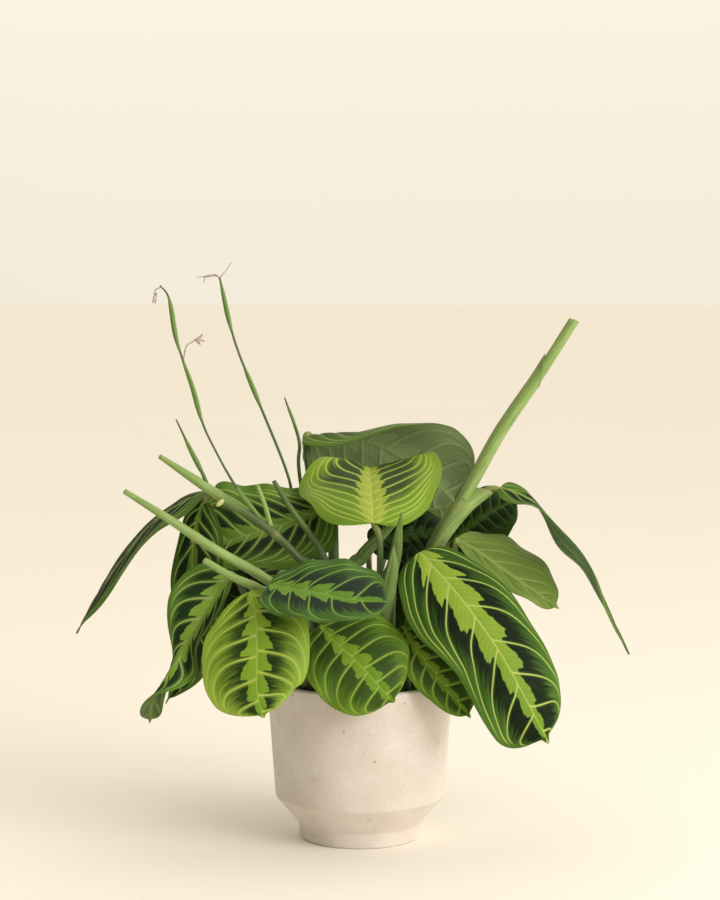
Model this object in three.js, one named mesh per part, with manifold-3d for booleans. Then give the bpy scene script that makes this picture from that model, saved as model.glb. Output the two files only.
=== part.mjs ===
// A potted prayer plant (maranta): a stoneware pot filled with soil, broad leaves that each stand on
// their own stalk, cut leafy stems, pointed young shoots and thin flower stalks.
// Millimetres. +Z is up, the front is -Y, and the origin is the middle of the pot's underside.

import * as THREE from 'three';
import { mergeVertices } from 'three/addons/utils/BufferGeometryUtils.js';
import Module from 'manifold-3d';

const wasm = await Module();
wasm.setup();

// Pot: a foot, a chamfered shoulder, and a side that opens a little to the rim.
const POT_HEIGHT = 108;
const RIM_RADIUS = 63;
const FOOT_RADIUS = 41;
const FOOT_HEIGHT = 11;
const SHOULDER_RADIUS = 57.3;
const SHOULDER_HEIGHT = 28.7;
const WALL = 4.6;
const FLOOR = 8;
const POT_SEGMENTS = 44;

// Soil: a plug that fills the pot up to a little below the rim.
const SOIL_TOP = 95.2;
const SOIL_BUMP = 0.9;
const SOIL_SEGMENTS = 24;
const GAP = 0.35;

// Roots: the upright foot of each stem, standing in a plain hole in the soil.
const ROOT_BOTTOM = 80;
const ROOT_TOP = 98;
const ROOT_SIDES = 6;

// Leaf blades.
const BLADE_THICKNESS = 0.8;
const BLADE_STATIONS = 10;
const BLADE_COLUMNS = [-1, -0.75, -0.4, 0, 0.4, 0.75, 1];
const TIP_START = 0.965;
const STALK_SIDES = 6;
const STALK_STEPS = 6;

const POT_COLOUR = 0xd9c8b8;
const SOIL_COLOUR = 0x2b1f18;
const LIME = 0x86a83c;
const MID_GREEN = 0x5c8038;
const DARK_GREEN = 0x3d6137;
const OLIVE = 0x6d8046;
const UNDERSIDE = 0x5f7355;
const STEM_GREEN = 0x8fa468;
const SHOOT_GREEN = 0x7f9a5c;
const STALK_GREEN = 0x7d9156;

// One half of a leaf, measured from its midrib: its width, how full and how skewed its outline is, how
// far it runs back beside the stalk, and how it folds and curls, in degrees. A list runs from base to tip.
const half = (width, more = {}) => ({
  width,
  fullness: 0.44,
  skew: 0.95,
  lobe: 0.2,
  fold: 5,
  curl: -22,
  ...more,
});

const FLAT = { skew: 1, lobe: 0.1, fold: 0, curl: -15 };
const STRAP = { skew: 1, lobe: 0.1, fold: 0, curl: -10 };

// Every leaf has the line of its midrib from base to tip, and the way its upper face looks along it.
// Its right half is on the right of someone who looks along the midrib, over the upper face.
const LEAVES = {
  leaf_front_right: {
    midrib: [[40, -28, 197], [65, -54, 171], [89, -70, 139], [107, -77, 107], [122, -72, 78]],
    facing: [[0.05, -0.7, 0.7], [0.1, -0.98, 0.15]],
    left: half([37, 36, 34, 38, 54], { fullness: 0.42, skew: 1, lobe: 0.15, fold: [5, -26],
      curl: [-15, -20] }),
    right: half([46, 44, 32, 34, 42], { fullness: 0.3, skew: 1.2, lobe: 0, curl: [-25, -15] }),
    stalk: [[36, -24, 97], [38, -20, 150], [39, -21, 190]],
    stalkRadii: [2.6, 1.8],
    colour: DARK_GREEN,
  },
  leaf_centre_cup: {
    midrib: [[9, -45, 218], [8, -14, 231], [7, 20, 242], [7, 50, 246], [7, 78, 237]],
    facing: [[0, -0.45, 0.9], [0, 0.35, 0.9]],
    left: half([36, 43, 51, 35, 28], { fullness: 0.36, skew: 0.9, lobe: 0.3, fold: [15, 15, 15, 25, 25],
      curl: [-45, -45, -45, -20, -20] }),
    right: half([38, 42, 49, 50, 46], { fullness: 0.34, skew: 1.05, lobe: 0.3, fold: [-5, 0, 8, 15, 20],
      curl: [-15, -10, -10, -5, -5] }),
    stalk: [[6, -22, 97], [12, -36, 160], [13, -44, 205]],
    stalkRadii: [2.6, 1.9],
    colour: LIME,
  },
  leaf_back_upright: {
    midrib: [[-37, 88, 265], [-11, 96, 265], [18, 102, 256], [47, 104, 237], [70, 100, 215]],
    facing: [[0, 1, 0.25], [0, 1, 0.1]],
    left: half(34, { fullness: 0.42, skew: 0.9, lobe: 0.6, fold: 0, curl: 10 }),
    right: half([34, 36, 50, 50, 60], { fullness: 0.42, skew: 1, lobe: 1.4, fold: [-45, -45, -10, 5, 10],
      curl: [-85, -85, -90, -40, -20] }),
    stalk: [[-20, 24, 97], [-30, 52, 200], [-38, 80, 261]],
    stalkRadii: [3.2, 2.4],
    colour: UNDERSIDE,
  },
  leaf_front_dark: {
    midrib: [[-58, -70, 181], [-43, -76, 179], [-27, -80, 177], [-6, -82, 173], [20, -80, 171]],
    facing: [[0, -0.6, 0.8], [0, -0.6, 0.8]],
    left: half([26, 26, 27, 28, 30], { fullness: 0.28, skew: 1.8, lobe: 0.25, fold: 25, curl: -18 }),
    right: half(23, { fullness: 0.42, skew: 0.75, lobe: 0.45, fold: 0, curl: -12 }),
    stalk: [[-18, -40, 97], [-32, -46, 140], [-42, -48, 172], [-50, -56, 187]],
    stalkRadii: [2.4, 1.6],
    colour: DARK_GREEN,
  },
  leaf_front_left: {
    midrib: [[-71, -60, 175], [-67, -70, 157], [-66, -77, 136], [-66, -80, 114], [-62, -79, 96]],
    facing: [[0, -0.8, 0.6], [0, -0.98, 0.15]],
    left: half(35, { skew: 0.85, curl: [-25, -35] }),
    right: half(37, { fullness: 0.46, skew: 1.2, lobe: 0, curl: -25 }),
    stalk: [[-28, -34, 97], [-36, -40, 122], [-58, -50, 156], [-69, -57, 173]],
    stalkRadii: [2.4, 1.6],
    colour: LIME,
  },
  leaf_front_centre: {
    midrib: [[-26, -53, 152], [-15, -63, 142], [-2, -70, 131], [11, -74, 117], [22, -74, 105]],
    facing: [[0, -0.75, 0.66], [0, -0.95, 0.3]],
    left: half(38, { skew: 0.9, fold: 0, curl: [-20, -25] }),
    right: half(33, { skew: 1.05, curl: -25 }),
    stalk: [[-6, -48, 97], [-16, -49, 130], [-23, -51, 149]],
    stalkRadii: [2.4, 1.6],
    colour: LIME,
  },
  leaf_rim_right: {
    midrib: [[28, -44, 150], [35, -53, 138], [46, -58, 124], [58, -60, 109], [72, -58, 92]],
    facing: [[0, -0.8, 0.6], [0, -0.95, 0.3]],
    left: half(24, { fullness: 0.46 }),
    right: half(15, { fullness: 0.46 }),
    stalk: [[32, -36, 97], [30, -40, 130], [28, -42, 146]],
    stalkRadii: [2.2, 1.5],
    colour: LIME,
  },
  leaf_right_olive: {
    midrib: [[65, -9, 204], [80, -16, 195], [97, -21, 183], [116, -25, 170], [132, -26, 159]],
    facing: [[0.1, -0.6, 0.8], [0.2, -0.8, 0.6]],
    left: half(32, { ...FLAT, curl: -25 }),
    right: half(10, FLAT),
    stalk: [[47, -2, 97], [60, -8, 170], [64, -11, 200]],
    stalkRadii: [2.4, 1.6],
    colour: OLIVE,
  },
  leaf_right_back: {
    midrib: [[61, 31, 195], [72, 28, 205], [85, 26, 215], [97, 25, 222], [108, 25, 226]],
    facing: [[0, -0.7, 0.7], [0, -0.7, 0.7]],
    left: half(24, { skew: 1 }),
    right: half(24, { skew: 1 }),
    stalk: [[36, 22, 97], [54, 28, 170], [60, 31, 192]],
    stalkRadii: [2.4, 1.6],
    colour: DARK_GREEN,
  },
  leaf_left_upper: {
    midrib: [[-22, 22, 222], [-43, 15, 214], [-66, 9, 207], [-88, 7, 201], [-110, 8, 195]],
    facing: [[0, -0.72, 0.7], [0, -0.72, 0.7]],
    left: half([40, 38, 32, 28, 26], { fullness: 0.4, lobe: 0.1, curl: -20 }),
    right: half([31, 31, 36, 46, 50], { fullness: 0.34, skew: 1.15, lobe: 0, fold: 20, curl: -10 }),
    ripple: { height: 2, waves: 3, start: 1 },
    stalk: [[-8, 10, 97], [-17, 14, 170], [-19, 17, 218]],
    stalkRadii: [4.2, 3.2],
    colour: MID_GREEN,
  },
  leaf_left_folded: {
    midrib: [[-86, -32, 184], [-98, -45, 165], [-111, -56, 144], [-123, -62, 125], [-134, -63, 106],
      [-137, -60, 89]],
    facing: [[-0.15, -0.95, 0.35], [-0.15, -0.95, 0.25], [-0.25, -0.95, 0.2], [-0.95, -0.2, 0.2],
      [-0.45, 0.85, 0.3], [-0.3, 0.95, 0.1]],
    left: half([17, 20, 19, 12, 15], { fullness: 0.32, skew: 0.9, lobe: 0.1, fold: [-70, -78, -80, -40, 0],
      curl: -5 }),
    right: half([30, 29, 12, 8, 15], { fullness: 0.32, skew: 0.8, fold: [5, 0, -10, -10, 0], curl: -15 }),
    ripple: { height: 1, waves: 2, start: 0 },
    stalk: [[-42, -18, 97], [-70, -25, 155], [-83, -29, 181]],
    stalkRadii: [2.4, 1.6],
    colour: MID_GREEN,
  },
  leaf_inner_right: {
    midrib: [[7, 44, 193], [22, 48, 197], [38, 52, 200], [52, 54, 200], [65, 56, 197]],
    facing: [[0, -0.8, 0.6], [0, -0.8, 0.6]],
    left: half(20),
    right: half(20),
    stalk: [[10, 30, 97], [8, 38, 150], [6, 43, 188]],
    stalkRadii: [2.4, 1.6],
    colour: DARK_GREEN,
  },
  leaf_inner_low: {
    midrib: [[26, 13, 106], [27, 14, 126], [29, 14, 150], [31, 13, 174], [33, 12, 196]],
    facing: [[0, -1, 0.1], [0, -1, 0.1]],
    left: half(19, FLAT),
    right: half(19, FLAT),
    stalk: [[26, 13, 97], [26, 13, 103]],
    stalkRadii: [2, 1.5],
    colour: DARK_GREEN,
  },
  leaf_inner_left: {
    midrib: [[-64, 12, 117], [-71, 12, 134], [-76, 12, 152], [-79, 12, 170], [-80, 12, 187]],
    facing: [[0, -1, 0.1], [0, -1, 0.1]],
    left: half(21, { ...FLAT, fullness: 0.34 }),
    right: half(21, { ...FLAT, fullness: 0.34 }),
    stalk: [[-40, 8, 97], [-52, 11, 109], [-62, 12, 115]],
    stalkRadii: [2, 1.5],
    colour: DARK_GREEN,
  },
  leaf_rear_left: {
    midrib: [[-46, 42, 170], [-62, 54, 180], [-80, 62, 176], [-96, 70, 158], [-106, 76, 134]],
    facing: [[-0.1, -0.1, 1], [-0.6, -0.2, 0.6]],
    left: half(27),
    right: half(27),
    stalk: [[-34, 28, 97], [-40, 32, 135], [-44, 39, 162]],
    stalkRadii: [2.4, 1.6],
    colour: MID_GREEN,
  },
  leaf_rear_centre: {
    midrib: [[-10, 88, 156], [-12, 112, 168], [-16, 134, 160], [-18, 150, 134], [-18, 158, 100]],
    facing: [[0, 0.1, 1], [0, 0.9, 0.2]],
    left: half(33),
    right: half(33),
    stalk: [[-8, 42, 97], [-9, 60, 130], [-10, 80, 150]],
    stalkRadii: [2.4, 1.6],
    colour: MID_GREEN,
  },
  leaf_rear_right: {
    midrib: [[38, 62, 152], [52, 86, 162], [66, 106, 150], [76, 120, 126], [80, 127, 98]],
    facing: [[0.2, 0.1, 1], [0.6, 0.7, 0.2]],
    left: half(31),
    right: half(31),
    stalk: [[28, 32, 97], [32, 44, 126], [36, 57, 146]],
    stalkRadii: [2.4, 1.6],
    colour: MID_GREEN,
  },
  leaf_rear_high: {
    midrib: [[30, 124, 228], [34, 148, 236], [38, 170, 226], [42, 186, 202], [42, 194, 172]],
    facing: [[0, 0.1, 1], [0, 0.9, 0.25]],
    left: half(32),
    right: half(32),
    stalk: [[-2, 28, 97], [12, 80, 160], [26, 112, 204]],
    stalkRadii: [2.6, 1.7],
    colour: MID_GREEN,
  },
};

// These leaves grow from a cut stem, so they are one body with it.
const LEAF_FAR_RIGHT = {
  midrib: [[95, 5, 237], [109, 0, 232], [122, -5, 223], [135, -12, 203], [152, -16, 185], [164, -18, 160],
    [180, -18, 127]],
  facing: [[0.1, -0.5, 0.85], [0.3, -0.35, 0.9], [0.75, 0.02, 0.65], [0.8, 0.28, 0.5], [0.85, 0.12, 0.45],
    [0.9, 0.02, 0.4], [0.9, 0, 0.3]],
  left: half([24, 18, 15, 16, 16], { ...STRAP, fullness: 0.46, lobe: 0.2 }),
  right: half([24, 22, 21, 21, 21], { ...STRAP, fullness: 0.46, lobe: 0.2 }),
  ripple: { height: 1, waves: 2, start: 0 },
  stalk: [[82, 4, 233], [89, 6, 236]],
  stalkRadii: [2.2, 1.6],
};

const LEAF_FAR_LEFT = {
  midrib: [[-103, -4, 235], [-120, -7, 227], [-140, -10, 213], [-162, -12, 186], [-179, -12, 161],
    [-190, -12, 140]],
  facing: [[-0.5, -0.12, 0.85], [-0.7, -0.14, 0.7], [-0.75, -0.05, 0.6]],
  left: half(28, STRAP),
  right: half(33, STRAP),
  ripple: { height: 1.5, waves: 2, start: 0 },
  stalk: [[-96, -30, 236], [-100, -16, 237]],
  stalkRadii: [2.4, 1.6],
};

const LEAF_LEFT_HANGING = {
  midrib: [[-104, -18, 231], [-110, -15, 210], [-113, -13, 180], [-116, -11, 149], [-120, -9, 117],
    [-131, -10, 92]],
  facing: [[-0.45, -0.75, 0.5], [-0.45, -0.88, 0.15], [-0.4, -0.9, 0]],
  left: half([25, 25, 25, 24, 9], FLAT),
  right: half([16, 16, 16, 9, 4], FLAT),
  stalk: [[-98, -29, 237], [-101, -24, 233]],
  stalkRadii: [2.4, 1.6],
};

// Stems and stalks: the line of each one, and its radii from the soil to its end.
const RIGHT_STEM = {
  line: [[30, 2, 97], [38, 2, 166], [53, 0, 203], [74, -2, 238], [94, -4, 275], [121, -4, 315],
    [143, -4, 350]],
  radii: [4.5, 4.5, 4.2, 3.8, 3.7, 3.6, 3.6],
};
const RIGHT_SHEATH = {
  line: [[41, 2, 174], [53, 1, 201], [69, 2, 223], [85, 4, 235]],
  radii: [4.6, 5.6, 6.3, 4.6],
};
const LEFT_UPPER_STEM = {
  line: [[-28, -10, 97], [-32, -22, 178], [-42, -25, 194], [-63, -28, 214], [-101, -30, 240],
    [-132, -32, 261]],
  radii: [3, 3, 2.7, 2.9, 3.3, 1.6],
};
const LEFT_UPPER_SIDE_STALKS = [
  {
    line: [[-61, -28, 213], [-82, -30, 241], [-97, -30, 268], [-104, -30, 284], [-110, -30, 306],
      [-120, -30, 336], [-125, -30, 364], [-131, -30, 373]],
    radii: [1.6, 1.6, 1.1, 1, 0.9, 0.8, 0.7, 0.6],
    steps: 12,
  },
  {
    line: [[-116, -30, 324], [-114, -31, 333], [-110, -32, 336], [-105, -32, 339]],
    radii: [0.8, 0.7, 0.8, 0.6],
    steps: 4,
  },
  { line: [[-130, -30, 372], [-134, -30, 370], [-134, -30, 364]], radii: [0.8, 1.2, 0.6], steps: 3 },
  {
    line: [[-100, -30, 240], [-105, -30, 252], [-113, -30, 268], [-121, -30, 285]],
    radii: [1.4, 1.2, 0.9, 0.5],
    steps: 5,
  },
  { line: [[-59, -28, 214], [-63, -27, 228], [-68, -26, 241]], radii: [1.6, 1.4, 1.3], steps: 3 },
  { line: [[-89, -30, 233], [-91, -35, 234], [-95, -38, 235]], radii: [1.4, 1.8, 0.6], steps: 3 },
];

const STEMS = {
  stem_left_lower_cut: {
    line: [[-12, -24, 97], [-20, -28, 146], [-61, -34, 179], [-95, -40, 200], [-124, -44, 220],
      [-154, -44, 239]],
    radii: [3.6, 3.6, 3.4, 3.3, 2.8, 1.8],
    colour: STEM_GREEN,
    sides: 8,
    steps: 10,
  },
  stem_left_short_cut: {
    line: [[-40, -28, 97], [-50, -42, 163], [-66, -47, 175], [-85, -48, 184], [-102, -48, 194]],
    radii: [3, 3, 3, 2.6, 2.2],
    colour: STEM_GREEN,
    sides: 8,
    steps: 10,
  },
  shoot_centre: {
    line: [[20, -16, 97], [21, -28, 172], [24, -40, 200], [27, -54, 226]],
    radii: [2.5, 3.2, 3.8, 0.5],
    colour: SHOOT_GREEN,
    sides: 8,
    steps: 8,
  },
  shoot_centre_low: {
    line: [[16, -38, 97], [16, -42, 150], [18, -46, 168], [21, -50, 188], [22, -52, 204]],
    radii: [2.5, 3.4, 4.4, 4.2, 0.5],
    colour: SHOOT_GREEN,
    sides: 8,
    steps: 8,
  },
  sheath_centre: {
    line: [[0, -12, 97], [-5, -26, 178], [2, -26, 194], [21, -24, 215]],
    radii: [3, 4.4, 4.4, 3],
    colour: SHOOT_GREEN,
    sides: 8,
    steps: 8,
  },
  flower_stalk_middle: {
    line: [[-24, 8, 97], [-47, 34, 212], [-49, 36, 240], [-70, 36, 294], [-86, 36, 335], [-96, 36, 378]],
    radii: [1.4, 1.4, 1.3, 1.2, 1, 0.9],
    colour: STALK_GREEN,
    sides: 6,
    steps: 14,
  },
  flower_stalk_right: {
    line: [[-12, 28, 97], [-41, 70, 229], [-43, 72, 264], [-53, 72, 294]],
    radii: [1.4, 1.3, 1.2, 0.5],
    colour: STALK_GREEN,
    sides: 6,
    steps: 9,
  },
  flower_stalk_short: {
    line: [[-14, -8, 97], [-19, -13, 170], [-26, -16, 196], [-45, -22, 224], [-57, -26, 244]],
    radii: [2, 2.2, 2.4, 2, 1.5],
    colour: STALK_GREEN,
    sides: 6,
    steps: 9,
  },
};

const vector = (values) => new THREE.Vector3(...values);

const curveThrough = (points) => new THREE.CatmullRomCurve3(points.map(vector), false, 'catmullrom', 0.5);

// A size that stays the same, or changes evenly, or follows a smooth line through its values.
function along(values, u) {
  if (typeof values === 'number') {
    return values;
  }
  if (values.length === 2) {
    return THREE.MathUtils.lerp(values[0], values[1], u);
  }
  return curveThrough(values.map((value) => [value, 0, 0])).getPoint(u).x;
}

function facingAt(leaf, u) {
  const looks = leaf.facing.map((values) => vector(values).normalize());
  if (looks.length === 2) {
    return looks[0].lerp(looks[1], u);
  }
  return new THREE.CatmullRomCurve3(looks, false, 'catmullrom', 0.5).getPoint(u);
}

// How wide the leaf is at u, from 0 to 1: round at the base, full in the middle, with a small drawn-out tip.
function outline(u, fullness, skew) {
  const v = Math.min(u / TIP_START, 1) ** skew;
  const body = Math.max(4 * v * (1 - v), 0) ** fullness;
  const tip = 0.07 * THREE.MathUtils.clamp((1 - u) / (1 - TIP_START), 0, 1) + 0.015;
  const wide = Math.max(body, u > 0.9 ? tip : 0);
  return Math.max(wide, u < 0.1 ? 0.06 : 0);
}

// A point of the blade's middle surface: u runs from base to tip, t from the left edge to the right one.
function bladePoint(leaf, u, t) {
  const curve = curveThrough(leaf.midrib);
  const forward = curve.getTangent(u);
  const side = new THREE.Vector3().crossVectors(forward, facingAt(leaf, u)).normalize();
  const up = new THREE.Vector3().crossVectors(side, forward);
  const part = t < 0 ? leaf.left : leaf.right;
  const sign = t < 0 ? -1 : 1;
  const out = Math.abs(t);
  const width = along(part.width, u);
  const wide = outline(u, part.fullness, part.skew);
  const fold = THREE.MathUtils.degToRad(along(part.fold, u));
  const curl = THREE.MathUtils.degToRad(along(part.curl, u)) || 0.001;
  const ripple = leaf.ripple ?? { height: 1.5, waves: 3, start: 0 };
  const phase = 2 * Math.PI * ripple.waves * u + ripple.start + (t < 0 ? 1.7 : 0);
  const reach = ((Math.sin(fold + curl * out) - Math.sin(fold)) / curl) * wide * width;
  const bend = ((Math.cos(fold) - Math.cos(fold + curl * out)) / curl) * wide * width;
  const wave = ripple.height * out ** 2 * Math.sin(phase) * Math.min(1, 2 * wide);
  const back = -part.lobe * width * (out * wide) ** 1.5 * (1 - u) ** 4;
  return curve.getPoint(u)
    .addScaledVector(side, sign * reach)
    .addScaledVector(up, bend + wave)
    .addScaledVector(forward, back);
}

// The blade as a closed solid: an upper and a lower skin that are split alike, joined around the edge.
function bladeGeometry(leaf) {
  const columns = BLADE_COLUMNS.length;
  const rows = BLADE_STATIONS + 1;
  const middle = [];
  for (let row = 0; row < rows; row += 1) {
    const u = (1 - Math.cos((Math.PI * row) / BLADE_STATIONS)) / 2;
    BLADE_COLUMNS.forEach((t) => middle.push(...bladePoint(leaf, u, t).toArray()));
  }
  const at = (row, column) => row * columns + column;
  const skin = [];
  for (let row = 0; row < rows - 1; row += 1) {
    for (let column = 0; column < columns - 1; column += 1) {
      const corner = at(row, column);
      const across = at(row, column + 1);
      const ahead = at(row + 1, column);
      const opposite = at(row + 1, column + 1);
      skin.push(corner, across, ahead, across, opposite, ahead);
    }
  }
  const sheet = new THREE.BufferGeometry();
  sheet.setAttribute('position', new THREE.Float32BufferAttribute(middle, 3));
  sheet.setIndex(skin);
  sheet.computeVertexNormals();
  const normals = sheet.getAttribute('normal').array;

  const lower = rows * columns;
  const upperSkin = middle.map((value, i) => value + (normals[i] * BLADE_THICKNESS) / 2);
  const lowerSkin = middle.map((value, i) => value - (normals[i] * BLADE_THICKNESS) / 2);
  const faces = [...skin];
  for (let i = 0; i < skin.length; i += 3) {
    faces.push(lower + skin[i], lower + skin[i + 2], lower + skin[i + 1]);
  }
  const rim = [];
  for (let row = 0; row < rows - 1; row += 1) {
    rim.push([at(row, columns - 1), at(row + 1, columns - 1)]);
    rim.push([at(row + 1, 0), at(row, 0)]);
  }
  for (let column = 0; column < columns - 1; column += 1) {
    rim.push([at(0, column), at(0, column + 1)]);
    rim.push([at(rows - 1, column + 1), at(rows - 1, column)]);
  }
  rim.forEach(([from, to]) => faces.push(lower + from, lower + to, to, lower + from, to, from));

  const blade = new THREE.BufferGeometry();
  blade.setAttribute('position', new THREE.Float32BufferAttribute([...upperSkin, ...lowerSkin], 3));
  blade.setIndex(faces);
  return blade;
}

// A round rod that follows a line and changes its radius along it.
function rodGeometry({ line, radii, sides, steps }) {
  const curve = curveThrough(line);
  const round = new THREE.Shape();
  for (let i = 0; i < sides; i += 1) {
    const turn = (2 * Math.PI * i) / sides;
    if (i === 0) {
      round.moveTo(1, 0);
    } else {
      round.lineTo(Math.cos(turn), Math.sin(turn));
    }
  }
  const rod = new THREE.ExtrudeGeometry(round, { steps, extrudePath: curve, bevelEnabled: false });
  const centres = curve.getSpacedPoints(steps);
  const position = rod.getAttribute('position');
  const point = new THREE.Vector3();
  for (let i = 0; i < position.count; i += 1) {
    point.fromBufferAttribute(position, i);
    const distances = centres.map((centre) => centre.distanceTo(point));
    const nearest = distances.indexOf(Math.min(...distances));
    const radius = along(radii, curve.getUtoTmapping(nearest / steps));
    point.sub(centres[nearest]).multiplyScalar(radius).add(centres[nearest]);
    position.setXYZ(i, point.x, point.y, point.z);
  }
  return rod;
}

// A solid from a closed geometry, with its faces turned outwards.
function solidOf(geometry) {
  const bare = geometry.clone();
  bare.deleteAttribute('normal');
  bare.deleteAttribute('uv');
  const merged = mergeVertices(bare, 1e-3);
  const index = merged.getIndex().array;
  const position = merged.getAttribute('position');
  const faces = [];
  let volume = 0;
  for (let i = 0; i < index.length; i += 3) {
    const [a, b, c] = [index[i], index[i + 1], index[i + 2]];
    if (a !== b && b !== c && c !== a) {
      faces.push([a, b, c]);
      const corners = [a, b, c].map((corner) => new THREE.Vector3().fromBufferAttribute(position, corner));
      volume += corners[0].dot(corners[1].cross(corners[2]));
    }
  }
  const outward = volume > 0 ? faces : faces.map(([a, b, c]) => [a, c, b]);
  return new wasm.Manifold(new wasm.Mesh({
    numProp: 3,
    vertProperties: new Float32Array(position.array),
    triVerts: new Uint32Array(outward.flat()),
  }));
}

function meshOf(name, solid, colour, roughness) {
  const { vertProperties, triVerts } = solid.getMesh();
  const geometry = new THREE.BufferGeometry();
  geometry.setAttribute('position', new THREE.BufferAttribute(vertProperties, 3));
  geometry.setIndex(new THREE.BufferAttribute(triVerts, 1));
  geometry.computeVertexNormals();
  const material = new THREE.MeshStandardMaterial({ color: colour, roughness, metalness: 0 });
  const mesh = new THREE.Mesh(geometry, material);
  mesh.name = name;
  return mesh;
}

function uprightCylinder([x, y], radius, bottom, top) {
  const cylinder = new THREE.CylinderGeometry(radius, radius, top - bottom, ROOT_SIDES);
  cylinder.rotateX(Math.PI / 2);
  cylinder.translate(x, y, (bottom + top) / 2);
  return solidOf(cylinder);
}

// Every stem that comes out of the soil: where it stands and how thick it is there.
const roots = [];

function withRoot(solid, [x, y], radius) {
  roots.push({ x, y, radius });
  return solid.add(uprightCylinder([x, y], radius, ROOT_BOTTOM, ROOT_TOP));
}

// The stalk runs up to the blade and a little way on under its midrib.
function stalkOf(leaf) {
  const [lower, upper] = leaf.stalkRadii;
  const under = [0.03, 0.12].map((u) => {
    const tangent = curveThrough(leaf.midrib).getTangent(u);
    const side = new THREE.Vector3().crossVectors(tangent, facingAt(leaf, u)).normalize();
    const up = new THREE.Vector3().crossVectors(side, tangent);
    return bladePoint(leaf, u, 0).addScaledVector(up, -0.7 * upper).toArray();
  });
  return solidOf(rodGeometry({
    line: [...leaf.stalk, ...under],
    radii: [lower, (lower + upper) / 2, upper, 0.6 * upper],
    sides: STALK_SIDES,
    steps: STALK_STEPS,
  }));
}

const grownLeaf = (leaf) => solidOf(bladeGeometry(leaf)).add(stalkOf(leaf));

function potSolid() {
  const innerShoulder = SHOULDER_RADIUS - WALL;
  const profile = [
    [0, 0],
    [FOOT_RADIUS - 1, 0],
    [FOOT_RADIUS, 1],
    [FOOT_RADIUS + 0.5, FOOT_HEIGHT - 0.8],
    [SHOULDER_RADIUS - 0.8, SHOULDER_HEIGHT - 1],
    [SHOULDER_RADIUS, SHOULDER_HEIGHT],
    [RIM_RADIUS, POT_HEIGHT - 1],
    [RIM_RADIUS - 0.8, POT_HEIGHT],
    [RIM_RADIUS - WALL + 0.8, POT_HEIGHT],
    [RIM_RADIUS - WALL, POT_HEIGHT - 0.8],
    [innerShoulder, SHOULDER_HEIGHT + 3],
    [FOOT_RADIUS - WALL + 1, FLOOR + 6],
    [FOOT_RADIUS - WALL, FLOOR],
    [0, FLOOR],
  ];
  const lathe = new THREE.LatheGeometry(profile.map(([r, z]) => new THREE.Vector2(r, z)), POT_SEGMENTS);
  lathe.rotateX(Math.PI / 2);
  return solidOf(lathe);
}

// The plug stops a little short of the pot, and its top is gently uneven.
function soilSolid() {
  const innerShoulder = SHOULDER_RADIUS - WALL;
  const slope = (RIM_RADIUS - SHOULDER_RADIUS) / (POT_HEIGHT - SHOULDER_HEIGHT);
  const topRadius = innerShoulder + slope * (SOIL_TOP - SHOULDER_HEIGHT - 3) - 2 * GAP;
  const profile = [
    [0, FLOOR + GAP],
    [FOOT_RADIUS - WALL - 2 * GAP, FLOOR + GAP],
    [FOOT_RADIUS - WALL + 1 - 2 * GAP, FLOOR + 6],
    [innerShoulder - 2 * GAP, SHOULDER_HEIGHT + 3],
    [topRadius, SOIL_TOP - 1],
    [topRadius - 3, SOIL_TOP],
    [topRadius - 16, SOIL_TOP],
    [topRadius - 32, SOIL_TOP],
    [0, SOIL_TOP],
  ];
  const lathe = new THREE.LatheGeometry(profile.map(([r, z]) => new THREE.Vector2(r, z)), SOIL_SEGMENTS);
  lathe.rotateX(Math.PI / 2);
  const position = lathe.getAttribute('position');
  for (let i = 0; i < position.count; i += 1) {
    if (position.getZ(i) > SOIL_TOP - 0.5) {
      const bump = Math.sin(position.getX(i) * 0.31 + 1) * Math.cos(position.getY(i) * 0.27);
      position.setZ(i, SOIL_TOP + SOIL_BUMP * bump);
    }
  }
  const holeFor = ({ x, y, radius }) => uprightCylinder([x, y], radius + GAP, ROOT_BOTTOM - GAP, POT_HEIGHT);
  return roots.reduce((soil, root) => soil.subtract(holeFor(root)), solidOf(lathe));
}

const plant = new THREE.Group();
plant.name = 'potted_prayer_plant';

Object.entries(LEAVES).forEach(([name, leaf]) => {
  const solid = withRoot(grownLeaf(leaf), leaf.stalk[0], leaf.stalkRadii[0]);
  plant.add(meshOf(name, solid, leaf.colour, 0.5));
});

const rightStem = solidOf(rodGeometry({ ...RIGHT_STEM, sides: 10, steps: 12 }))
  .add(solidOf(rodGeometry({ ...RIGHT_SHEATH, sides: 10, steps: 6 })))
  .add(grownLeaf(LEAF_FAR_RIGHT));
const rightRooted = withRoot(rightStem, RIGHT_STEM.line[0], RIGHT_STEM.radii[0]);
plant.add(meshOf('leafy_stem_right', rightRooted, STEM_GREEN, 0.5));

const leftStem = LEFT_UPPER_SIDE_STALKS.reduce(
  (stem, stalk) => stem.add(solidOf(rodGeometry({ ...stalk, sides: 6 }))),
  solidOf(rodGeometry({ ...LEFT_UPPER_STEM, sides: 8, steps: 10 })),
)
  .add(grownLeaf(LEAF_FAR_LEFT))
  .add(grownLeaf(LEAF_LEFT_HANGING));
plant.add(meshOf(
  'leafy_stem_left',
  withRoot(leftStem, LEFT_UPPER_STEM.line[0], LEFT_UPPER_STEM.radii[0]),
  MID_GREEN,
  0.5,
));

Object.entries(STEMS).forEach(([name, stem]) => {
  const solid = withRoot(solidOf(rodGeometry(stem)), stem.line[0], stem.radii[0]);
  plant.add(meshOf(name, solid, stem.colour, 0.55));
});

plant.add(meshOf('pot', potSolid(), POT_COLOUR, 0.75));
plant.add(meshOf('soil', soilSolid(), SOIL_COLOUR, 0.95));

export default plant;
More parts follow.
